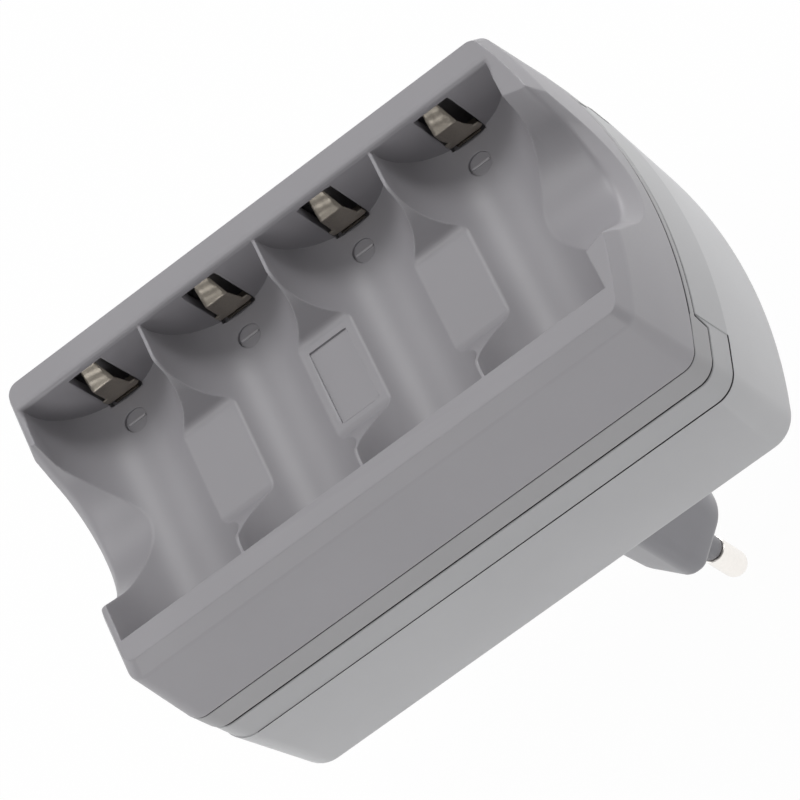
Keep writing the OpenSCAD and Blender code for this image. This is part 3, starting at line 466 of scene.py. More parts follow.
def surface_net(form, xs, ys, zs):
    """Vertices and quads of the surface where form(x, y, z) is zero.

    Each cell that it crosses gets one vertex, set where the surface's tangent planes meet, so that edges
    stay sharp."""
    field = np.asarray(form(xs[:, None, None], ys[None, :, None], zs[None, None, :]), np.float32)
    inside = field < 0
    corners = [(i, j, k) for i in (0, 1) for j in (0, 1) for k in (0, 1)]
    cell = lambda a, i, j, k: a[i:a.shape[0] - 1 + i, j:a.shape[1] - 1 + j, k:a.shape[2] - 1 + k]
    count = sum(cell(inside, *c).astype(np.int8) for c in corners)
    crossed = (count > 0) & (count < 8)
    cells = np.stack(np.nonzero(crossed), 1)
    number = np.full(crossed.shape, -1, np.int32)
    number[tuple(cells.T)] = np.arange(len(cells))
    lines = (xs, ys, zs)
    # Sums over a cell's crossings: nine products of the slopes, three coordinates and the number
    width = 9 + 3 + 1
    sums = np.zeros((len(cells), width))
    quads = []
    for axis in range(3):
        n1, n2 = (axis + 1) % 3, (axis + 2) % 3
        low = [slice(None)] * 3
        high = [slice(None)] * 3
        low[axis], high[axis] = slice(0, -1), slice(1, None)
        for n in (n1, n2):
            low[n] = high[n] = slice(1, -1)
        first, second = inside[tuple(low)], inside[tuple(high)]
        at = np.stack(np.nonzero(first != second), 1)
        out = first[tuple(at.T)]
        at[:, n1] += 1
        at[:, n2] += 1
        end = at.copy()
        end[:, axis] += 1
        near, far = field[tuple(at.T)].astype(float), field[tuple(end.T)].astype(float)
        points = np.stack([lines[n][at[:, n]] for n in range(3)], 1)
        points[:, axis] += (lines[axis][end[:, axis]] - points[:, axis]) * near / (near - far)
        slopes, _ = gradient(form, points)
        slopes = unit(slopes)
        products = (slopes[:, :, None] * slopes[:, None, :]).reshape(-1, 9)
        parts = np.concatenate([products, points, np.ones((len(points), 1))], 1)
        offsets = (slopes * points).sum(1)[:, None] * slopes
        ring = []
        for d1, d2 in ((-1, -1), (0, -1), (0, 0), (-1, 0)):
            c = at.copy()
            c[:, n1] += d1
            c[:, n2] += d2
            ring.append(number[c[:, 0], c[:, 1], c[:, 2]])
        for place in ring:
            for n in range(width):
                sums[:, n] += np.bincount(place, parts[:, n], len(cells))
        planes = [np.bincount(place, offsets[:, n], len(cells)) for place in ring for n in range(3)]
        targets = np.stack([sum(planes[n::3]) for n in range(3)], 1)
        meets = targets if axis == 0 else meets + targets
        ring = np.stack(ring, 1)
        quads.append(np.where(out[:, None], ring, ring[:, ::-1]))
    total = np.maximum(sums[:, 12:], 1)
    means = sums[:, 9:12] / total
    forms = sums[:, :9].reshape(-1, 3, 3) / total[:, :, None]
    gap = meets / total - np.einsum("nij,nj->ni", forms, means)
    shift = np.linalg.solve(forms + EDGE_PULL * np.eye(3), gap[:, :, None])[:, :, 0]
    low = np.stack([lines[n][cells[:, n]] for n in range(3)], 1)
    high = np.stack([lines[n][cells[:, n] + 1] for n in range(3)], 1)
    return np.clip(means + shift, low, high), np.concatenate(quads)


def gradient(form, points, step=0.01):
    """Direction in which the form grows fastest, and the form's value, at each point."""
    x, y, z = points.T
    value = form(x, y, z)
    slopes = [form(x + step, y, z) - form(x - step, y, z), form(x, y + step, z) - form(x, y - step, z),
              form(x, y, z + step) - form(x, y, z - step)]
    return np.stack(slopes, 1) / (2 * step), value


def settle(form, points, rounds, most):
    """Moves points onto the surface of the form, in each round by at most the given distance."""
    for _ in range(rounds):
        slopes, value = gradient(form, points)
        size = np.maximum((slopes ** 2).sum(1), LEAST_SLOPE)
        points = points - np.clip(value / size, -most, most)[:, None] * slopes
    return points


def to_part(points):
    """From the bays' own frame in millimetres to the part's frame in metres."""
    return (np.asarray(points) + np.array(MIDDLE)) * MM


def new_object(name, mesh, slot, body, finishes, *nodes):
    """Links a mesh with its finishes as a piece of the object."""
    piece = bpy.data.objects.new(name, mesh)
    bpy.context.scene.collection.objects.link(piece)
    for made in finishes:
        mesh.materials.append(made)
    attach(piece, body)
    if nodes:
        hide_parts(*nodes)
    return piece


def mesh_from(name, points, faces):
    """A mesh of the points and faces."""
    mesh = bpy.data.meshes.new(name)
    mesh.from_pydata([tuple(p) for p in points], [], [tuple(int(i) for i in f) for f in faces])
    mesh.update()
    return mesh


def values(items, key, width=1, kind=float):
    """One property of a mesh's vertices, loops or faces, with a row for each where it has several numbers."""
    flat = np.zeros(len(items) * width, kind)
    items.foreach_get(key, flat)
    return flat.reshape(-1, width) if width > 1 else flat


def decimated(mesh, ratio):
    """The mesh with fewer triangles where it is flat."""
    holder = bpy.data.objects.new("thinning", mesh)
    bpy.context.scene.collection.objects.link(holder)
    thin = holder.modifiers.new("thin", "DECIMATE")
    thin.ratio = ratio
    graph = bpy.context.evaluated_depsgraph_get()
    result = bpy.data.meshes.new_from_object(holder.evaluated_get(graph))
    bpy.data.objects.remove(holder)
    bpy.data.meshes.remove(mesh)
    return result


# Rings of the housing

def housing_levels(h):
    """Outline of the housing by height, lowest first: z, right, left, half width, corner, bulge."""
    return np.array([
        [-h.bottom, h.base_right, h.base_left, h.base_half, h.base_corner, h.bulge],
        [-h.crease, h.crease_right, h.crease_left, h.crease_half, h.crease_corner, h.bulge],
        [-h.upper_seam, h.seam_right, h.seam_left, h.seam_half, h.seam_corner, h.bulge],
    ])


def end_places(h):
    """Places across an end where the housing's rings have points."""
    step = [h.step_y - STEP_BEFORE, h.step_y - STEP_NEAR, h.step_y, h.step_y + h.step_run / 3,
            h.step_y + h.step_run * 2 / 3, h.step_y + h.step_run, h.step_y + h.step_run + STEP_AFTER]
    half = list(np.linspace(0, h.step_y - STRAIGHT_END, STRAIGHT_POINTS)) + step
    return np.array([-v for v in half[:0:-1]] + half)


def housing_ring(z, inset, h):
    """Points of the outline at height z (one value or one for each point), moved inward by inset."""
    across = end_places(h)
    fractions = np.linspace(0, 1, CORNER_POINTS)
    count = len(across) + 2 * len(fractions)
    z = np.broadcast_to(np.asarray(z, float), (2 * count,))
    inset = np.broadcast_to(np.asarray(inset, float), (2 * count,))
    table = housing_levels(h)
    right, left, half, corner, bulge = (np.interp(z, table[:, 0], table[:, n]) for n in range(1, 6))
    points = np.zeros((2 * count, 3))
    for side in (0, 1):
        reach = (right, left)[side]
        big = bulge if side == 0 else np.full_like(bulge, h.left_bulge)
        for k in range(count):
            i = side * count + k
            hx, hy, big_r = reach[i] - inset[i], half[i] - inset[i], big[i] - inset[i]
            r = max(LEAST_CORNER, corner[i] - inset[i])
            ex, cy = hx - big_r, hy - r
            cx = ex + math.sqrt((big_r - r) ** 2 - cy * cy)
            start = math.atan2(cy, cx - ex)
            if k < len(fractions):
                a = -math.pi / 2 + (math.pi / 2 - start) * fractions[k]
                p = (cx + r * math.cos(a), -cy + r * math.sin(a))
            elif k < len(fractions) + len(across):
                y = across[k - len(fractions)]
                p = (ex + math.sqrt(big_r ** 2 - y * y), y)
            else:
                a = start + (math.pi / 2 - start) * fractions[k - len(fractions) - len(across)]
                p = (cx + r * math.cos(a), cy + r * math.sin(a))
            points[i] = (p[0], p[1], z[i]) if side == 0 else (-p[0], -p[1], z[i])
    return points


def loft(bm, rings, closed=False):
    """Quads between rings of equal length. Returns the rows of vertices."""
    rows = [[bm.verts.new(p) for p in to_part(ring)] for ring in rings]
    pairs = list(zip(rows, rows[1:])) + ([(rows[-1], rows[0])] if closed else [])
    for low, high in pairs:
        for i in range(len(low)):
            j = (i + 1) % len(low)
            bm.faces.new((low[i], low[j], high[j], high[i]))
    return rows


def shade(bm, rows, steps, where=None, finish=1):
    """Gives the strips that start at these rows another of the mesh's finishes, where the mask says so."""
    bm.faces.index_update()
    for step in steps:
        low, high = rows[step], rows[step + 1]
        for i in range(len(low)):
            j = (i + 1) % len(low)
            if where is not None and not (where[i] or where[j]):
                continue
            corners = {low[i], low[j], high[i], high[j]}
            for face in low[i].link_faces:
                if set(face.verts) == corners:
                    face.material_index = finish


def finished(bm, name, sharp=math.radians(28)):
    """Mesh of a bmesh, shaded smooth with its sharp edges kept."""
    bmesh.ops.recalc_face_normals(bm, faces=bm.faces)
    for face in bm.faces:
        face.smooth = True
    for edge in bm.edges:
        if len(edge.link_faces) == 2 and edge.calc_face_angle(0) > sharp:
            edge.smooth = False
    mesh = bpy.data.meshes.new(name)
    bm.to_mesh(mesh)
    bm.free()
    return mesh


def seam_height(h, early=0.0):
    """Height of the lower seam at each ring point. Its step can start earlier."""
    y = np.abs(housing_ring(-h.side_seam, 0, h)[:, 1])
    along = np.clip((y - h.step_y + early) / h.step_run, 0, 1)
    return -(h.end_seam + (h.side_seam - h.end_seam) * along)


# Materials

def linear(rgb):
    """Linear colour of an sRGB one that is given from 0 to 255."""
    parts = [v / 255 for v in rgb]
    return [v / 12.92 if v <= 0.04045 else ((v + 0.055) / 1.055) ** 2.4 for v in parts] + [1]


def material(name):
    """A new node material and its shader, with a helper that adds a node."""
    made = bpy.data.materials.new(name)
    made.use_nodes = True
    tree = made.node_tree
    shader = tree.nodes["Principled BSDF"]

    def add(kind, **values):
        node = tree.nodes.new(kind)
        for key, value in values.items():
            if key in node.inputs:
                node.inputs[key].default_value = value
            else:
                setattr(node, key, value)
        return node

    return made, tree, shader, add


def speckled(name, fine, stops, ranges, strength, depth, broad=None):
    """A material and its shader. A fine noise moves the bump and, within the ranges, the roughness. The broad
    noise, or else the fine one, moves the colour between two stops, each a place and a colour."""
    made, tree, shader, add = material(name)
    link = tree.links.new
    place = add("ShaderNodeTexCoord")
    noises = [add("ShaderNodeTexNoise", **numbers) for numbers in (fine, broad) if numbers]
    for noise in noises:
        link(place.outputs["Object"], noise.inputs["Vector"])
    ramp = add("ShaderNodeValToRGB")
    for element, (position, tone) in zip(ramp.color_ramp.elements, stops):
        element.position = position
        element.color = tone
    bump = add("ShaderNodeBump", Strength=strength, Distance=depth * MM)
    rough = add("ShaderNodeMapRange", **ranges)
    for noise, node, entry, result, use in ((noises[-1], ramp, "Fac", "Color", "Base Color"),
                                            (noises[0], bump, "Height", "Normal", "Normal"),
                                            (noises[0], rough, "Value", "Result", "Roughness")):
        link(noise.outputs["Fac"], node.inputs[entry])
        link(node.outputs[result], shader.inputs[use])
    return made, shader


def moulded(name, rgb, roughness=0.42):
    """Satin moulded plastic with a fine spark texture and a faint drift of tone."""
    base = linear(rgb)[:3]
    tones = [v * (1 - MOTTLE) for v in base] + [1], [min(1, v * (1 + MOTTLE)) for v in base] + [1]
    ranges = {"To Min": roughness - PLASTIC_SPREAD[0], "To Max": roughness + PLASTIC_SPREAD[1]}
    stops = zip(PLASTIC_STOPS, tones)
    made, shader = speckled(name, SPARK, stops, ranges, PLASTIC_BUMP, TEXTURE_DEPTH, DRIFT)
    shader.inputs["Specular IOR Level"].default_value = PLASTIC_SPECULAR
    return made


def plated(name, rgb, roughness, scuff=0.25, worn=0.86, depth=0.02, grain=0.7):
    """Plated metal with fine drawing lines and scuffs."""
    base = linear(rgb)
    scuffs = {"Scale": 1 / (grain * MM), "Detail": 6.0, "Roughness": 0.7}
    ranges = {"From Min": PLATE_RANGE[0], "From Max": PLATE_RANGE[1],
              "To Min": roughness - scuff * PLATE_SPREAD, "To Max": roughness + scuff}
    tones = [v * worn for v in base[:3]] + [1], base
    made, shader = speckled(name, scuffs, zip(PLATE_STOPS, tones), ranges, PLATE_BUMP, depth)
    shader.inputs["Metallic"].default_value = 1.0
    return made


def dress(node, made):
    """Gives a CAD node a finish."""
    obj = frame["nodes"][node]
    obj.data.materials.clear()
    obj.data.materials.append(made)


def sizes(group):
    """The scene's group of sizes or colours."""
    return getattr(bpy.context.scene.charger, group)


# Pieces and their operators

def cover_grid(t, h):
    """Grid lines for the cover, finer at its ridges, discs, end walls, rim, bevel, floors and pads."""
    disc = (t.disc_r + AT_DISC[0], AT_DISC[1])
    xs = graded(-h.seam_left - GRID_ROOM, h.seam_right + GRID_ROOM, COARSE,
                [(PITCH * n, *AT_RIDGE) for n in (-1, 0, 1)]
                + [(x - MIDDLE.x - t.disc_left, *disc) for x in BAY_X])
    ys = graded(-h.seam_half - GRID_ROOM, h.seam_half + GRID_ROOM, COARSE,
                [(t.bay_half - t.disc_inset - t.bay_back, *disc)]
                + [(side * t.bay_half - t.bay_back, *AT_WALL) for side in (1, -1)]
                + [(side * y, *AT_RIM) for y in (h.rim_half, h.rim_half + h.bevel_w) for side in (1, -1)])
    zs = graded(-h.upper_seam - ROOM_BELOW, ROOM_ABOVE, COARSE_UP,
                [(-TOP_MIDDLE, *AT_TOP), (-h.bevel_h, *AT_BEVEL), (-t.bay_axis - t.bay_r, *AT_FLOOR),
                 (-t.pad_depth - PAD_OFFSET, *AT_PAD)])
    return xs, ys, zs


def cut_below(mesh, z, name):
    """The mesh above a height, closed there with a flat face."""
    bm = bmesh.new()
    bm.from_mesh(mesh)
    bpy.data.meshes.remove(mesh)
    geometry = bm.verts[:] + bm.edges[:] + bm.faces[:]
    down = (0, 0, -1)
    cut = bmesh.ops.bisect_plane(bm, geom=geometry, plane_co=(0, 0, z), plane_no=down, clear_outer=True)
    rim = [e for e in cut["geom_cut"] if isinstance(e, bmesh.types.BMEdge)]
    bmesh.ops.triangle_fill(bm, edges=rim, use_beauty=True, normal=down)
    return finished(bm, name, sharp=math.pi)


def form_normals(mesh, form):
    """A normal for each corner of each face: the form's, or the face's where the two disagree."""
    places = values(mesh.vertices, "co", 3)
    at = values(mesh.loops, "vertex_index", kind=np.int32)
    corners = values(mesh.polygons, "loop_total", kind=np.int32)
    flat = np.repeat(values(mesh.polygons, "normal", 3), corners, axis=0)
    toward = np.repeat(values(mesh.polygons, "center", 3), corners, axis=0) - places[at]
    far = np.maximum(np.linalg.norm(toward, axis=1, keepdims=True), TINY)
    slopes, _ = gradient(form, places[at] + toward * np.minimum(NORMAL_REACH / far, NORMAL_SHARE))
    mine = unit(slopes)
    agree = (mine * flat).sum(1) > NORMAL_AGREE
    return np.where(agree[:, None], mine, flat)


class CHARGER_OT_cover(bpy.types.Operator):
    """Moulds the upper cover with its bays, dividers, scoops and windows"""
    bl_idname = "charger.cover"
    bl_label = "Upper cover"

    def execute(self, context):
        t, h = sizes("tray"), sizes("housing")
        form = lambda x, y, z: cover_form(x, y, z, t, h)
        points, quads = surface_net(form, *cover_grid(t, h))
        mesh = decimated(mesh_from("cover_net", points, quads), min(1, COVER_FACES / max(1, len(quads))))
        moved = settle(form, values(mesh.vertices, "co", 3), SETTLE_ROUNDS, SETTLE_MOVE)
        mesh.vertices.foreach_set("co", moved.ravel())
        mesh = cut_below(mesh, -h.upper_seam, "upper_cover_moulding")
        normals = form_normals(mesh, form)
        mesh.vertices.foreach_set("co", to_part(values(mesh.vertices, "co", 3)).ravel())
        mesh.update()
        mesh.normals_split_custom_set(normals.tolist())
        new_object("upper_cover_moulding", mesh, "cover_plastic", BODY,
                   [moulded("cover_plastic", sizes("finish").cover)], "upper_cover")
        return {"FINISHED"}


class CHARGER_OT_band(bpy.types.Operator):
    """Lofts the middle band between the two seams"""
    bl_idname = "charger.band"
    bl_label = "Middle band"

    def execute(self, context):
        h, f = sizes("housing"), sizes("finish")
        e, deep = h.band_edge, h.seam_depth
        top = -h.upper_seam
        gap = np.where(np.abs(housing_ring(top, 0, h)[:, 1]) > h.step_y, h.upper_gap, h.upper_end_gap)
        low = seam_height(h)
        levels = [(top, BAND_INSIDE), (top, deep), (top - gap, deep), (top - gap, e), (top - gap - e, 0),
                  (low + e, 0), (low, e), (low, BAND_INSIDE)]
        bm = bmesh.new()
        rows = loft(bm, [housing_ring(z, inset, h) for z, inset in levels], closed=True)
        shade(bm, rows, (1, 2))
        name = "middle_frame_moulding"
        finishes = [moulded("frame_plastic", f.band), moulded("seam_shade", f.seam, roughness=0.8)]
        new_object(name, finished(bm, name), "frame_plastic", BODY, finishes, "middle_frame")
        return {"FINISHED"}


def octagon(k, p):
    """Corners and radii of the neck's plan, from the plug's face (0) to the housing (1)."""
    hx = (p.face_w + (p.base_w - p.face_w) * k) / 2
    hy = (p.face_l + (p.base_l - p.face_l) * k) / 2
    tip = p.tip_w / 2
    y = hy - (hx - tip)
    r = p.face_corner + (p.base_corner - p.face_corner) * k
    corners = [(hx, -y), (hx, y), (tip, hy), (-tip, hy), (-hx, y), (-hx, -y), (-tip, -hy), (tip, -hy)]
    return corners, [r, r, tip * 2, tip * 2, r, r, tip * 2, tip * 2]


def corner_arc(before, corner, after, r, steps):
    """Points of the arc of radius r that rounds a corner."""
    b = Vector(corner)
    u, v = (Vector(before) - b).normalized(), (Vector(after) - b).normalized()
    half = u.angle(v) / 2
    centre = b + (u + v).normalized() * r / math.sin(half)
    s, e = b + u * r / math.tan(half) - centre, b + v * r / math.tan(half) - centre
    start, turn = math.atan2(s.y, s.x), math.atan2(s.x * e.y - s.y * e.x, s.dot(e))
    angles = [start + turn * n / steps for n in range(steps + 1)]
    return [(centre.x + r * math.cos(a), centre.y + r * math.sin(a)) for a in angles]


def rounded(corners, radii, steps):
    """A closed outline with its corners rounded, each by its own radius."""
    out = []
    for i, corner in enumerate(corners):
        out += corner_arc(corners[i - 1], corner, corners[(i + 1) % len(corners)], radii[i], steps)
    return out


def quarter(r, count):
    """Rise and inset of the points that round a bottom edge, lowest first."""
    return [(r * (1 - math.cos(a)), r * (1 - math.sin(a))) for a in np.linspace(0, math.pi / 2, count)]


def neck_ring(height, inset, p, neck_h):
    """Ring of the neck at a height above the plug's face, in the bays' frame."""
    corners, radii = octagon(height / neck_h, p)
    ring = rounded(corners, [CORNER_SHARE * r for r in radii], NECK_STEPS)
    out = []
    for i, (x, y) in enumerate(ring):
        before, after = Vector(ring[i - 1]), Vector(ring[(i + 1) % len(ring)])
        along = (after - before).normalized()
        out.append((x - along.y * inset - MIDDLE.x, y + along.x * inset - MIDDLE.y, height - MIDDLE.z))
    return np.array(out)


class CHARGER_OT_shell(bpy.types.Operator):
    """Lofts the lower shell with its belt, its floor and the plug's neck"""
    bl_idname = "charger.shell"
    bl_label = "Lower shell"

    def execute(self, context):
        h, p, f = sizes("housing"), sizes("plug"), sizes("finish")
        e, deep = h.shell_edge, h.seam_depth
        seam = seam_height(h)
        plan_x, plan_y, _ = housing_ring(-h.crease, 0, h).T
        side = np.abs(plan_y) > h.step_y - BELT_BEFORE
        back = np.where(side, h.belt_depth, 0.0)
        lip = seam_height(h, h.step_gap) - np.where(side, h.lower_gap, h.end_gap)
        lined = side & (plan_x > -h.belt_start)
        groove = np.where(lined, BELT_GROOVE, back)
        line_low = -h.crease - np.where(lined, h.belt_gap, 0.0)
        line_edge = np.where(lined, BELT_EDGE, 0.0)
        inside = -h.bottom + h.floor
        bottom = [(-h.bottom + rise, inset) for rise, inset in quarter(h.base_edge, BASE_POINTS)]
        levels = bottom + [(line_low - BELT_EDGE, 0), (line_low, line_edge), (line_low, groove),
                           (-h.crease, groove), (-h.crease, back), (lip - e, back), (lip, back + e),
                           (lip, deep), (seam, deep), (seam, h.wall), (-h.crease, h.wall),
                           (inside, h.wall + 1)]
        bm = bmesh.new()
        rows = loft(bm, [housing_ring(z, inset, h) for z, inset in levels])
        well_top = h.well_depth - h.bottom
        steps = [(h.well_r, -h.bottom), (h.well_r, well_top), (h.shank_r, well_top),
                 (h.shank_r, -h.post_top), (h.post_r, -h.post_top), (h.post_r, inside)]
        turn = np.linspace(0, 2 * math.pi, WELL_POINTS, endpoint=False)
        posts = [loft(bm, [np.stack([x + r * np.cos(turn), y + r * np.sin(turn), np.full(len(turn), z)], 1)
                           for r, z in steps])
                 for x in (-h.screw_x, h.screw_x) for y in (-h.screw_y, h.screw_y)]
        neck_h = -h.bottom + MIDDLE.z
        heights = quarter(p.edge_r, FACE_POINTS)
        heights += [(z, 0) for z in np.linspace(p.edge_r, neck_h, NECK_POINTS)[1:]]
        for face in bm.faces:
            face.tag = True
        neck = loft(bm, [neck_ring(z, inset, p, neck_h) for z, inset in heights])
        bm.faces.new(neck[0])
        # Faces of the neck take the neck tone, a painted shade for the shadow under the housing
        for face in bm.faces:
            if not face.tag:
                face.material_index = 2
        first = len(bottom)
        shade(bm, rows, (first + 1, first + 2), lined)
        # The belt above the crease and its broken edge take the belt tone, a painted shade
        shade(bm, rows, (first + 4, first + 5), finish=3)
        shade(bm, rows, (first + 6, first + 7, first + 8))
        for loops, up in (([rows[0], neck[-1]] + [post[0] for post in posts], -1),
                          ([rows[-1]] + [post[-1] for post in posts], 1)):
            edges = [bm.edges.get(pair) for row in loops for pair in zip(row, row[1:] + row[:1])]
            bmesh.ops.triangle_fill(bm, edges=edges, use_beauty=True, normal=(0, 0, up))
        name = "lower_shell_moulding"
        finishes = [moulded("shell_plastic", f.shell, roughness=0.36),
                    moulded("belt_shade", f.seam, roughness=0.8),
                    # The neck tone is painted shade on the shell's plastic
                    moulded("neck_painted_shade", f.neck, roughness=0.34),
                    # The belt tone is painted shade on the shell's plastic
                    moulded("belt_painted_shade", f.belt, roughness=0.36)]
        new_object(name, finished(bm, name), "shell_plastic", BODY, finishes, "lower_shell")
        return {"FINISHED"}


def stadium(half_l, r, steps=8):
    """Outline of a bar with round ends, along X."""
    angles = np.linspace(-math.pi / 2, math.pi / 2, steps)
    right = [(half_l - r + r * math.cos(a), r * math.sin(a)) for a in angles]
    return right + [(-x, -y) for x, y in right]


class CHARGER_OT_marks(bpy.types.Operator):
    """Raises a rounded bar in each minus disc"""
    bl_idname = "charger.marks"
    bl_label = "Minus marks"

    def execute(self, context):
        t = sizes("tray")
        floor_z = -t.bay_axis - t.bay_r
        # Height over the bay's floor and inset of a bar's rings, from its foot in the disc to its top
        levels = ((-t.disc_depth - 0.2, 0), (-0.16, 0), (-0.09, 0.03), (-0.05, 0.09))
        bm = bmesh.new()
        for x in BAY_X:
            x, y = x - MIDDLE.x - t.disc_left, t.bay_half - t.disc_inset - t.bay_back
            rings = []
            for z, inset in levels:
                ring = stadium(t.bar_l / 2 - inset, t.bar_w / 2 - inset)
                rings.append([(x + a, y + b, floor_z + z) for a, b in ring])
            rows = loft(bm, rings)
            bm.faces.new(rows[0])
            bm.faces.new(rows[-1])
        # The bars' lighter tone is a painted highlight
        new_object("minus_marks", finished(bm, "minus_marks"), "cover_plastic", BODY,
                   [moulded("mark_painted_highlight", sizes("finish").mark, roughness=0.3)])
        return {"FINISHED"}


def bent(path, radii, steps=6):
    """An open path with its corners rounded."""
    out = [Vector(path[0])]
    for before, corner, after, r in zip(path, path[1:], path[2:], radii):
        out += [Vector(point) for point in corner_arc(before, corner, after, r, steps)]
    return out + [Vector(path[-1])]


def spread(path, step):
    """The path with more points where it runs straight."""
    out = [path[0]]
    for a, b in zip(path, path[1:]):
        n = max(1, int(math.ceil((b - a).length / step)))
        out += [a + (b - a) * k / n for k in range(1, n + 1)]
    return out


def leaf_dent(across, height, number, s, t):
    """Depth of a leaf's shallow dents, which fade out toward its tip and its fold."""
    flap = max(0, min(1, (-height - t.window_top - DENT_TOP) * DENT_FADE,
                      (s.fold_depth - DENT_BOTTOM + height) * DENT_FADE))
    wave = math.sin(3.1 * across + 2.3 * height + 1.9 * number)
    return DENT_DEPTH * flap * wave * math.cos(2.2 * across - 3.7 * height + number)


def leaf_ring(p, along, half, number, s, t):
    """Ring of points round a leaf's strip at a point of its path."""
    out = Vector((-along.y, along.x))
    lean = LEAF_LEANS[number] * max(0, min(1, (s.shoulder_high + p.y) / 2))
    ring = []
    for side in (1, -1):
        for c in np.linspace(-1, 1, STRIP_POINTS) * side:
            edge = abs(c) == 1
            depth = (EDGE_THIN if edge else 1) * side * s.thick / 2
            across = c * half if edge else c * (half - EDGE_INSET) * EDGE_CROWD
            q = p + out * (depth + leaf_dent(across, p.y, number, s, t))
            ring.append((BAY_X[number] - MIDDLE.x + across + lean, q.x - t.bay_back, q.y))
    return ring


class CHARGER_OT_contacts(bpy.types.Operator):
    """Bends the sprung leaves out of thin strip and plates all contacts"""
    bl_idname = "charger.contacts"
    bl_label = "Contacts"

    def execute(self, context):
        s, t = sizes("leaf"), sizes("tray")
        nickel = plated("nickel", sizes("finish").nickel, 0.32, scuff=0.15, worn=0.8, depth=0.012, grain=0.3)
        wall, foot = t.bay_half, t.bay_half + FOOT_BEHIND
        path = [(wall + TIP_BEHIND, -t.window_top - s.tip_gap), (wall - s.fold_reach, -s.fold_depth),
                (wall, -s.shoulder_low), (foot, -s.shoulder_low - FOOT_RISE), (foot, -s.foot_depth)]
        line = spread(bent(path, BENDS), STRIP_STEP)
        before, after = SHOULDER_RUN
        depths = [t.window_top, s.fold_depth, s.shoulder_high - before, s.shoulder_high + after,
                  s.shoulder_low - after, s.shoulder_low + before, s.foot_depth]
        widths = [s.tip_w, s.fold_w, s.waist_w, s.shoulder_w, s.shoulder_w, s.waist_w, s.waist_w]
        for i, body in enumerate(LEAVES):
            bm = bmesh.new()
            rings = []
            for k, p in enumerate(line):
                along = (line[min(k + 1, len(line) - 1)] - line[max(k - 1, 0)]).normalized()
                rings.append(leaf_ring(p, along, np.interp(-p.y, depths, widths) / 2, i, s, t))
            rows = loft(bm, rings)
            bm.faces.new(rows[0])
            bm.faces.new(rows[-1])
            name = f"contact_leaf_{i + 1}"
            new_object(name, finished(bm, name), "contact_metal", body, [nickel], f"negative_contact_{i + 1}")
            dress(f"positive_contact_{i + 1}", nickel)
        dress("negative_bus", nickel)
        return {"FINISHED"}


def lathe(bm, profile, place, steps=64):
    """Turns a profile of (radius, height) round an upright line. Ends that reach the line are closed."""
    x, y = place
    rows = []
    for r, z in profile:
        angles = [0] if r < TINY else np.linspace(0, 2 * math.pi, steps, endpoint=False)
        rows.append([bm.verts.new(((x + r * math.cos(a)) * MM, (y + r * math.sin(a)) * MM, z * MM))
                     for a in angles])
    for low, high in zip(rows, rows[1:]):
        for i in range(steps):
            j = (i + 1) % steps
            if len(low) == 1:
                bm.faces.new((low[0], high[i], high[j]))
            elif len(high) == 1:
                bm.faces.new((low[i], low[j], high[0]))
            else:
                bm.faces.new((low[i], low[j], high[j], high[i]))


class CHARGER_OT_plug(bpy.types.Operator):
    """Turns the two pins and the sleeves on them"""
    bl_idname = "charger.plug"
    bl_label = "Plug"

    def execute(self, context):
        f, p = sizes("finish"), sizes("plug")
        bright = plated("pin_plate", f.pin, 0.3, scuff=0.06, worn=0.95, depth=0.004)
        collar = moulded("sleeve_plastic", f.sleeve, roughness=0.4)
        r, core, end = p.pin_d / 2, p.core_d / 2, -p.sleeve_l
        tip = [(r * math.sin(a), r - p.pin_l - r * math.cos(a))
               for a in np.linspace(0, math.pi / 2, TIP_POINTS)]
        collar_top, top = p.nose + COLLAR_H, p.nose + STUB
        pin = tip + [(r, end - PIN_EDGE), (r - PIN_EDGE, end), (core, end), (core, p.nose),
                     (core + COLLAR_W, p.nose), (core + COLLAR_W, collar_top), (core, collar_top),
                     (core, top), (0, top)]
        outer, inner, low = p.sleeve_d / 2, core + SLEEVE_PLAY, end + SLEEVE_GAP
        edge = [(outer - inset, low + rise) for inset, rise in SLEEVE_EDGE]
        sleeve = [(inner, low)] + edge + [(outer, p.sleeve_seat), (inner, p.sleeve_seat), (inner, low)]
        for side, y in (("front", -p.pin_spacing / 2), ("rear", p.pin_spacing / 2)):
            for name, profile, slot, made in ((f"{side}_pin", pin, "pin_metal", bright),
                                              (f"{side}_pin_sleeve", sleeve, "sleeve_plastic", collar)):
                bm = bmesh.new()
                lathe(bm, profile, (0, y))
                bmesh.ops.remove_doubles(bm, verts=bm.verts, dist=1e-7)
                new_object("turned_" + name, finished(bm, "turned_" + name), slot, BODY, [made], name)
        return {"FINISHED"}


class CHARGER_OT_electronics(bpy.types.Operator):
    """Finishes the board and everything on it"""
    bl_idname = "charger.electronics"
    bl_label = "Electronics"

    def execute(self, context):
        for node, rgb in {"circuit_board": (38, 92, 52), "transformer_core": (60, 60, 64),
                          "transformer_bobbin": (30, 30, 32), "input_capacitor": (32, 44, 80),
                          "output_capacitor": (32, 44, 80), "rectifier": (28, 28, 30), "fuse": (80, 62, 58),
                          "controller_chip": (28, 28, 30), "power_transistor": (28, 28, 30),
                          "front_pin_lead": (52, 80, 150), "rear_pin_lead": (110, 74, 48)}.items():
            dress(node, moulded(node + "_finish", rgb, 0.5))
        dress("transformer_winding", plated("copper", (190, 110, 70), 0.35))
        dress("heat_sink", plated("aluminium", (180, 182, 186), 0.4))
        dress("housing_screws", plated("screw_steel", (150, 150, 152), 0.35))
        return {"FINISHED"}


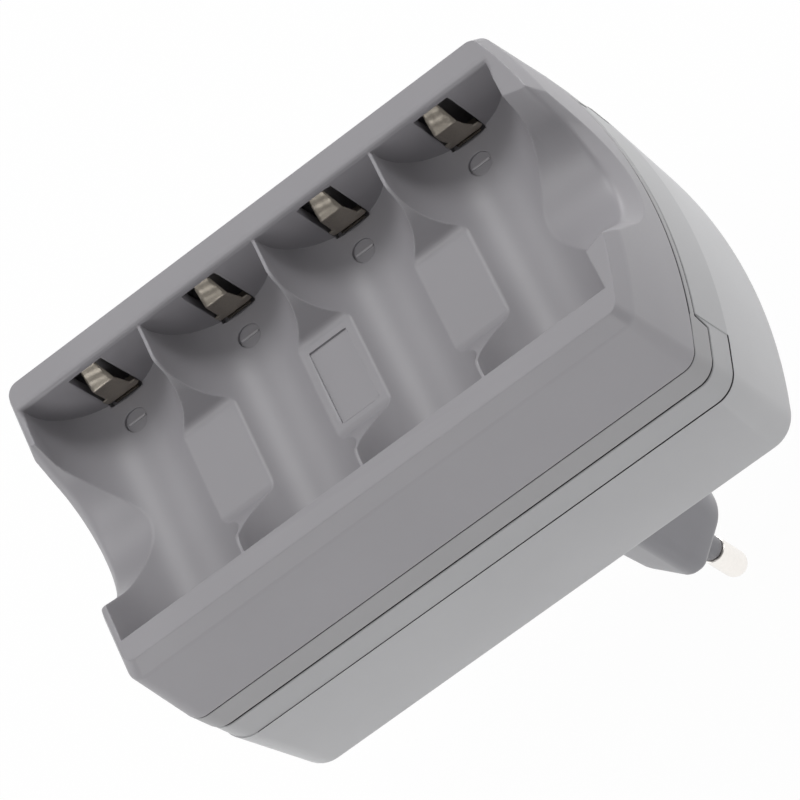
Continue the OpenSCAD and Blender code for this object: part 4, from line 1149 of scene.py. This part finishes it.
class CHARGER_OT_stage(bpy.types.Operator):
    """Sets the floor, the soft lamps and the camera"""
    bl_idname = "charger.stage"
    bl_label = "Stage"

    def execute(self, context):
        scene = context.scene
        scene.view_settings.view_transform = "Standard"
        place_camera(scene)
        make_floor()
        for settings in LAMPS:
            lamp(*settings)
        world = bpy.data.worlds.new("studio")
        world.use_nodes = True
        scene.world = world
        back = world.node_tree.nodes["Background"]
        back.inputs["Color"].default_value = (1, 1, 1, 1)
        back.inputs["Strength"].default_value = WORLD_LEVEL
        return {"FINISHED"}


def lamp(name, direction, distance, size, level):
    """A soft square lamp aimed at the object. Its level is the share of white that it lends a facing wall."""
    centre = Vector((MIDDLE.x, MIDDLE.y, MIDDLE.z / 2)) * MM
    light = bpy.data.lights.new(name, "AREA")
    light.shape = "SQUARE"
    light.size = size
    light.energy = level * (math.pi * distance) ** 2
    obj = bpy.data.objects.new(name, light)
    toward = Vector(direction).normalized()
    obj.location = centre + toward * distance
    obj.rotation_euler = toward.to_track_quat("Z", "Y").to_euler()
    bpy.context.scene.collection.objects.link(obj)


def place_camera(scene):
    """The photograph's camera: its place, its three axes and its focal length.

    It was fitted from an origin in the rim's plane, in millimetres."""
    origin = np.array([-12.3, 1.0, COVER_HIGH.z])
    place = np.array([167.368, -330.473, 481.805]) + origin
    right = Vector((0.77784, -0.37676, -0.50301))
    down = Vector((-0.56957, -0.76089, -0.31085))
    ahead = Vector((-0.26562, 0.52830, -0.80644))
    sensor, picture_width, focal_pixels = 36, 800, 4752.19
    camera = bpy.data.cameras.new("camera")
    camera.sensor_width = sensor
    camera.lens = sensor * focal_pixels / picture_width
    camera.clip_end = 20
    obj = bpy.data.objects.new("camera", camera)
    turn = Matrix((right, -down, -ahead)).transposed()
    obj.matrix_world = Matrix.Translation(Vector(place) * MM) @ turn.to_4x4()
    scene.collection.objects.link(obj)
    scene.camera = obj


def make_floor():
    """A white floor that keeps a soft shadow."""
    z = CAD_BOX[0][2]
    size, brightness, seen_glow = 4.0, 0.9, 0.97
    corners = [(-size, -size, z), (size, -size, z), (size, size, z), (-size, size, z)]
    mesh = mesh_from("floor", corners, [(0, 1, 2, 3)])
    floor = bpy.data.objects.new("floor", mesh)
    bpy.context.scene.collection.objects.link(floor)
    floor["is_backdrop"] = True
    made, tree, shader, add = material("studio_floor")
    link = tree.links.new
    shader.inputs["Base Color"].default_value = (brightness, brightness, brightness, 1)
    shader.inputs["Roughness"].default_value = 0.9
    glow = add("ShaderNodeEmission", Strength=1.0)
    path = add("ShaderNodeLightPath")
    seen = add("ShaderNodeMath", operation="MAXIMUM")
    link(path.outputs["Is Camera Ray"], seen.inputs[0])
    link(path.outputs["Is Glossy Ray"], seen.inputs[1])
    share = add("ShaderNodeMath", operation="MULTIPLY")
    share.inputs[1].default_value = seen_glow
    link(seen.outputs[0], share.inputs[0])
    mix = add("ShaderNodeMixShader")
    link(share.outputs[0], mix.inputs["Fac"])
    link(shader.outputs[0], mix.inputs[1])
    link(glow.outputs[0], mix.inputs[2])
    link(mix.outputs[0], tree.nodes["Material Output"].inputs["Surface"])
    floor.data.materials.append(made)


class CHARGER_PT_panel(bpy.types.Panel):
    """Lists the charger's pieces in the sidebar"""
    bl_label = "Charger"
    bl_space_type = "VIEW_3D"
    bl_region_type = "UI"
    bl_category = "Charger"

    def draw(self, context):
        for operator in OPERATORS:
            self.layout.operator(operator.bl_idname)


class ChargerSettings(bpy.types.PropertyGroup):
    tray: PointerProperty(type=TraySizes)
    housing: PointerProperty(type=HousingSizes)
    plug: PointerProperty(type=PlugSizes)
    leaf: PointerProperty(type=LeafSizes)
    finish: PointerProperty(type=Finishes)


OPERATORS = (CHARGER_OT_cover, CHARGER_OT_band, CHARGER_OT_shell, CHARGER_OT_marks, CHARGER_OT_contacts,
             CHARGER_OT_plug, CHARGER_OT_electronics, CHARGER_OT_stage)
CLASSES = tuple(GROUPS.values()) + (ChargerSettings,) + OPERATORS + (CHARGER_PT_panel,)


def register():
    for item in CLASSES:
        bpy.utils.register_class(item)
    bpy.types.Scene.charger = PointerProperty(type=ChargerSettings)


def unregister():
    del bpy.types.Scene.charger
    for item in reversed(CLASSES):
        bpy.utils.unregister_class(item)


def main():
    register()
    bpy.ops.charger.cover()
    bpy.ops.charger.band()
    bpy.ops.charger.shell()
    bpy.ops.charger.marks()
    bpy.ops.charger.contacts()
    bpy.ops.charger.plug()
    bpy.ops.charger.electronics()
    bpy.ops.charger.stage()
    corners = lambda box: [list(map(float, corner)) for corner in box]
    {"cad": corners(CAD_BOX), "visual": corners(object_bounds())}


if __name__ == "__main__":
    main()
